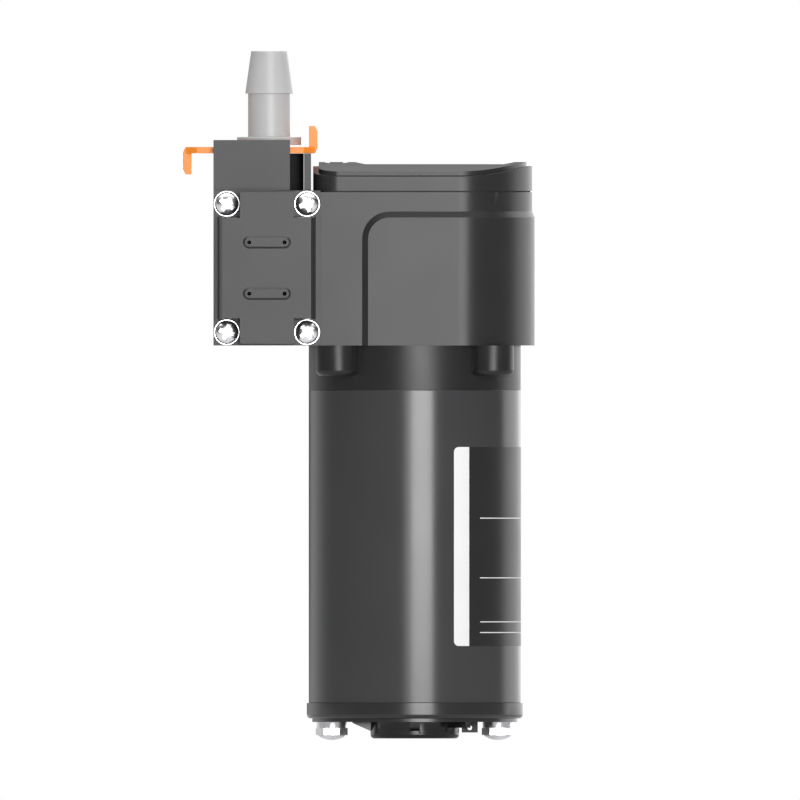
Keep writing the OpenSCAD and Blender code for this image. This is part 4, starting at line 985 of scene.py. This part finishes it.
@dataclass
class SwitchScrews:
    """The four screws that hold the pressure switch. They stand for the plain ones in the frame."""

    screw: CrossScrew = field(default_factory=CrossScrew)
    node: str = "switch_screws"
    edge_to_axis: float = 3.9
    turn_step: float = 17.0
    edge_radius: float = 0.06
    edge_steps: int = 2
    edge_limit: float = 40.0

    def axes(self) -> list[tuple[float, float]]:
        """X and Z of each screw axis in millimetres, found from the node's box.

        Returns:
            The four axes.
        """
        low, high = (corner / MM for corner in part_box(self.node))
        reach = self.edge_to_axis
        return [(x, z) for x in (low.x + reach, high.x - reach) for z in (low.z + reach, high.z - reach)]

    def seat(self) -> float:
        """Y of the face of the housing's foot in millimetres."""
        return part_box(self.node)[0].y / MM + self.screw.washer_t + self.screw.head_h

    def build(self) -> None:
        """Makes the four screws as one piece."""
        seat = self.seat()
        one = self.screw.mesh()
        work = bmesh.new()
        for i, (x, z) in enumerate(self.axes()):
            copy = one.copy()
            spin = Matrix.Rotation(math.radians(self.turn_step * i), 4, "Y")
            copy.transform(Matrix.Translation(Vector((x, seat, z)) * MM) @ spin)
            work.from_mesh(copy)
            bpy.data.meshes.remove(copy)
        bpy.data.meshes.remove(one)
        piece = new_piece("switch_cross_screws", work, BRIGHT_ZINC)
        # The second slot paints shade into the groove round each head.
        piece.data.materials.append(SCREW_GROOVE_PAINTED_SHADE.material())
        bevel = piece.modifiers.new("edge_radius", "BEVEL")
        bevel.width = self.edge_radius * MM
        bevel.segments = self.edge_steps
        bevel.limit_method = "ANGLE"
        bevel.angle_limit = math.radians(self.edge_limit)
        shade_smooth(piece)
        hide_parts(self.node)


@dataclass
class SwitchSpring:
    """The coil behind the switch's plunger. It stands for the rigid one in the frame."""

    node: str = "switch_spring"
    joint: str = "switch_plunger_slide"
    travel: float = 0.4

    def build(self) -> None:
        """Copies the frame's coil."""
        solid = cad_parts[self.node]
        coil = bmesh.new()
        coil.from_mesh(solid.data)
        coil.transform(solid.matrix_world)
        piece = new_piece("switch_coil_spring", coil, GROUND_STEEL)
        round_edges(piece, Edge.SHARP)
        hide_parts(self.node)
        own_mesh(piece)


class PressureSwitch(SubAssembly):
    """The pressure switch on the front of the head."""

    nodes = {
        "switch_housing": Dress(HEAD_MOULD, Edge.CRISP),
        "switch_diaphragm": Dress(BLACK_RUBBER),
        "switch_plunger": Dress(WHITE_NYLON, Edge.FINE),
        "switch_carrier": Dress(WHITE_NYLON, Edge.FINE),
        "microswitch": Dress(BLACK_MOULD, Edge.FINE),
        "microswitch_button": Dress(RED_MOULD, Edge.FINE),
        # Painted shade on the terminals' ends in the housing's holes.
        "switch_terminals": Dress(PIN_PAINTED_SHADE),
    }

    def build(self) -> None:
        """Dresses the nodes and adds the screws and the spring."""
        self.dress()
        SwitchScrews().build()
        SwitchSpring().build()


# Studio


@dataclass(frozen=True)
class Softbox:
    """A rectangular lamp that faces the pump, placed by its direction in degrees, with its sizes in metres."""

    name: str
    azimuth: float
    elevation: float
    distance: float
    width: float
    height: float
    radiance: float
    lights_floor: bool = True

    def build(self, target: Vector, without_floor: bpy.types.Collection) -> None:
        """Makes the lamp.

        Args:
            target: Point that it faces.
            without_floor: Collection that leaves the floor out of a lamp's light.
        """
        lamp = bpy.data.lights.new(self.name, "AREA")
        lamp.shape = "RECTANGLE"
        lamp.size, lamp.size_y = self.width, self.height
        lamp.energy = self.radiance * math.pi * self.width * self.height
        turn, rise = math.radians(self.azimuth), math.radians(self.elevation)
        out = Vector((math.sin(turn) * math.cos(rise), -math.cos(turn) * math.cos(rise), math.sin(rise)))
        holder = bpy.data.objects.new(self.name, lamp)
        holder.location = target + out * self.distance
        holder.rotation_euler = (-out).to_track_quat("-Z", "Y").to_euler()
        holder.visible_camera = False
        if not self.lights_floor:
            holder.light_linking.receiver_collection = without_floor
        bpy.context.scene.collection.objects.link(holder)
        LOG.info("lamp %s", self.name)


@dataclass
class Studio:
    """White room, pale floor, two strip lights beside the camera and one light above."""

    target: Vector = field(default_factory=lambda: Vector((-0.004, 0.0, 0.1)))
    camera_x: float = -4.425
    camera_z: float = 101.55
    camera_distance: float = 1.2
    view_width: float = 240.0
    floor_half: float = 6.0
    floor_gap: float = 0.02
    floor_lift: float = 0.32
    ambient: float = 0.4
    walls: tuple[tuple[float, float], ...] = (
        (-180, 0.03), (-164, 0.1), (-151, 0.65), (-140, 0.95), (-128, 0.85), (-114, 0.34), (-100, 0.08),
        (95, 0.06), (108, 0.02), (112, 1.0), (116, 2.3), (125, 2.6), (140, 2.1), (168, 1.9), (180, 0.03))
    glow: float = 0.85
    glow_height: tuple[float, float] = (0.0, 0.5)
    glow_depth: tuple[float, float] = (0.6, 0.8)
    ceiling: float = 2.7
    ceiling_height: tuple[float, float] = (0.5, 0.98)
    softboxes: tuple[Softbox, ...] = (
        Softbox("key_strip", 8.0, 0.0, 1.0, 0.4, 0.75, 11.0, lights_floor=False),
        Softbox("key_fade", -7.0, 0.0, 1.0, 0.12, 0.75, 3.0, lights_floor=False),
        Softbox("top_light", 0.0, 84.0, 0.9, 0.7, 0.7, 1.6),
    )

    def camera(self) -> None:
        """Makes the orthographic camera, level with the pump and square to its front."""
        data = bpy.data.cameras.new("camera")
        data.type = "ORTHO"
        data.ortho_scale = self.view_width * MM
        camera = bpy.data.objects.new("camera", data)
        camera.location = (self.camera_x * MM, -self.camera_distance, self.camera_z * MM)
        camera.rotation_euler = (math.radians(90), 0, 0)
        bpy.context.scene.collection.objects.link(camera)
        bpy.context.scene.camera = camera

    def reflected_room(self, tree: Tree) -> Socket:
        """Brightness of the room in reflections: bright walls behind the pump, dark ones at its sides.

        Args:
            tree: The world's node tree.

        Returns:
            The brightness.
        """
        direction = tree.nodes.new("ShaderNodeSeparateXYZ")
        link(tree, tree.nodes.new("ShaderNodeTexCoord").outputs["Generated"], direction.inputs[0])
        forward = arithmetic(tree, "MULTIPLY", direction.outputs["Y"], -1.0)
        turn = arithmetic(tree, "ARCTAN2", direction.outputs["X"], forward)
        share = arithmetic(tree, "ADD", arithmetic(tree, "DIVIDE", turn, math.tau), 0.5)
        ramp = tree.nodes.new("ShaderNodeValToRGB")
        link(tree, share, ramp.inputs["Fac"])
        stops = ramp.color_ramp.elements
        while len(stops) < len(self.walls):
            stops.new(0.5)
        brightest = max(level for _, level in self.walls)
        for stop, (azimuth, level) in zip(stops, self.walls):
            stop.position = azimuth / 360 + 0.5
            stop.color = (*[level / brightest] * 3, 1)
        white = arithmetic(tree, "MULTIPLY", ramp.outputs["Color"], brightest)
        above = remap(tree, direction.outputs["Z"], *self.ceiling_height, 0.0, self.ceiling)
        risen = remap(tree, direction.outputs["Z"], *self.glow_height, 0.0, self.glow)
        behind = remap(tree, direction.outputs["Y"], *self.glow_depth, 0.0, 1.0)
        high = arithmetic(tree, "MAXIMUM", above, arithmetic(tree, "MULTIPLY", risen, behind))
        return arithmetic(tree, "MAXIMUM", white, high)

    def world(self) -> None:
        """Makes the world: white to the camera and through clear parts, soft ambient light otherwise."""
        world = bpy.data.worlds.new("studio")
        bpy.context.scene.world = world
        world.use_nodes = True
        tree = world.node_tree
        tree.nodes.clear()
        ray = tree.nodes.new("ShaderNodeLightPath")
        seen = arithmetic(tree, "MAXIMUM", ray.outputs["Is Camera Ray"], ray.outputs["Is Transmission Ray"])
        white = place(tree, "ShaderNodeBackground", Color=WHITE, Strength=1.0)
        soft = place(tree, "ShaderNodeBackground", Color=WHITE, Strength=self.ambient)
        mirrored = place(tree, "ShaderNodeBackground", Color=WHITE)
        link(tree, self.reflected_room(tree), mirrored.inputs["Strength"])
        by_gloss, by_sight = tree.nodes.new("ShaderNodeMixShader"), tree.nodes.new("ShaderNodeMixShader")
        link(tree, ray.outputs["Is Glossy Ray"], by_gloss.inputs[0])
        link(tree, soft.outputs[0], by_gloss.inputs[1])
        link(tree, mirrored.outputs[0], by_gloss.inputs[2])
        link(tree, seen, by_sight.inputs[0])
        link(tree, by_gloss.outputs[0], by_sight.inputs[1])
        link(tree, white.outputs[0], by_sight.inputs[2])
        output = tree.nodes.new("ShaderNodeOutputWorld")
        link(tree, by_sight.outputs[0], output.inputs["Surface"])

    def pale_above_clear_below(self, tree: Tree) -> None:
        """Makes the floor pale to the eye on top, and clear from below, where it would hide the pump.

        Args:
            tree: The material's node tree.
        """
        output = next(node for node in tree.nodes if node.bl_idname == "ShaderNodeOutputMaterial")
        ray = tree.nodes.new("ShaderNodeLightPath")
        seen = arithmetic(tree, "MAXIMUM", ray.outputs["Is Camera Ray"], ray.outputs["Is Transmission Ray"])
        seen = arithmetic(tree, "MAXIMUM", seen, ray.outputs["Is Glossy Ray"])
        glow = place(tree, "ShaderNodeEmission", Color=WHITE)
        link(tree, arithmetic(tree, "MULTIPLY", seen, self.floor_lift), glow.inputs["Strength"])
        top = tree.nodes.new("ShaderNodeAddShader")
        link(tree, output.inputs["Surface"].links[0].from_socket, top.inputs[0])
        link(tree, glow.outputs[0], top.inputs[1])
        sides = tree.nodes.new("ShaderNodeMixShader")
        link(tree, tree.nodes.new("ShaderNodeNewGeometry").outputs["Backfacing"], sides.inputs[0])
        link(tree, top.outputs[0], sides.inputs[1])
        link(tree, tree.nodes.new("ShaderNodeBsdfTransparent").outputs[0], sides.inputs[2])
        link(tree, sides.outputs[0], output.inputs["Surface"])

    def floor(self, level: float) -> bpy.types.Collection:
        """Makes the pale floor.

        Args:
            level: Its height in metres.

        Returns:
            A collection that leaves the floor out of a lamp's light.
        """
        work = bmesh.new()
        bmesh.ops.create_grid(work, x_segments=8, y_segments=8, size=self.floor_half)
        piece = scratch_object("floor", work)
        piece.location.z = level
        give_material(piece, PALE_FLOOR)
        self.pale_above_clear_below(piece.active_material.node_tree)
        piece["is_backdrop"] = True
        without_floor = bpy.data.collections.new("without_floor")
        without_floor.objects.link(piece)
        without_floor.collection_objects[0].light_linking.link_state = "EXCLUDE"
        return without_floor

    def build(self, lowest: float) -> None:
        """Makes the whole studio.

        Args:
            lowest: Height of the pump's lowest point in metres.
        """
        bpy.context.scene.view_settings.view_transform = "Standard"
        self.camera()
        self.world()
        without_floor = self.floor(lowest - self.floor_gap * MM)
        for softbox in self.softboxes:
            softbox.build(self.target, without_floor)


def main() -> None:
    """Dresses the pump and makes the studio."""
    logging.basicConfig(level=logging.INFO, format="%(name)s: %(message)s")
    cad_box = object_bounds()
    for assembly in (Motor(), CrankDrive(), PumpHead(), Ports(), PressureSwitch()):
        assembly.build()
    Studio().build(cad_box[0].z)


if __name__ == "__main__":
    main()
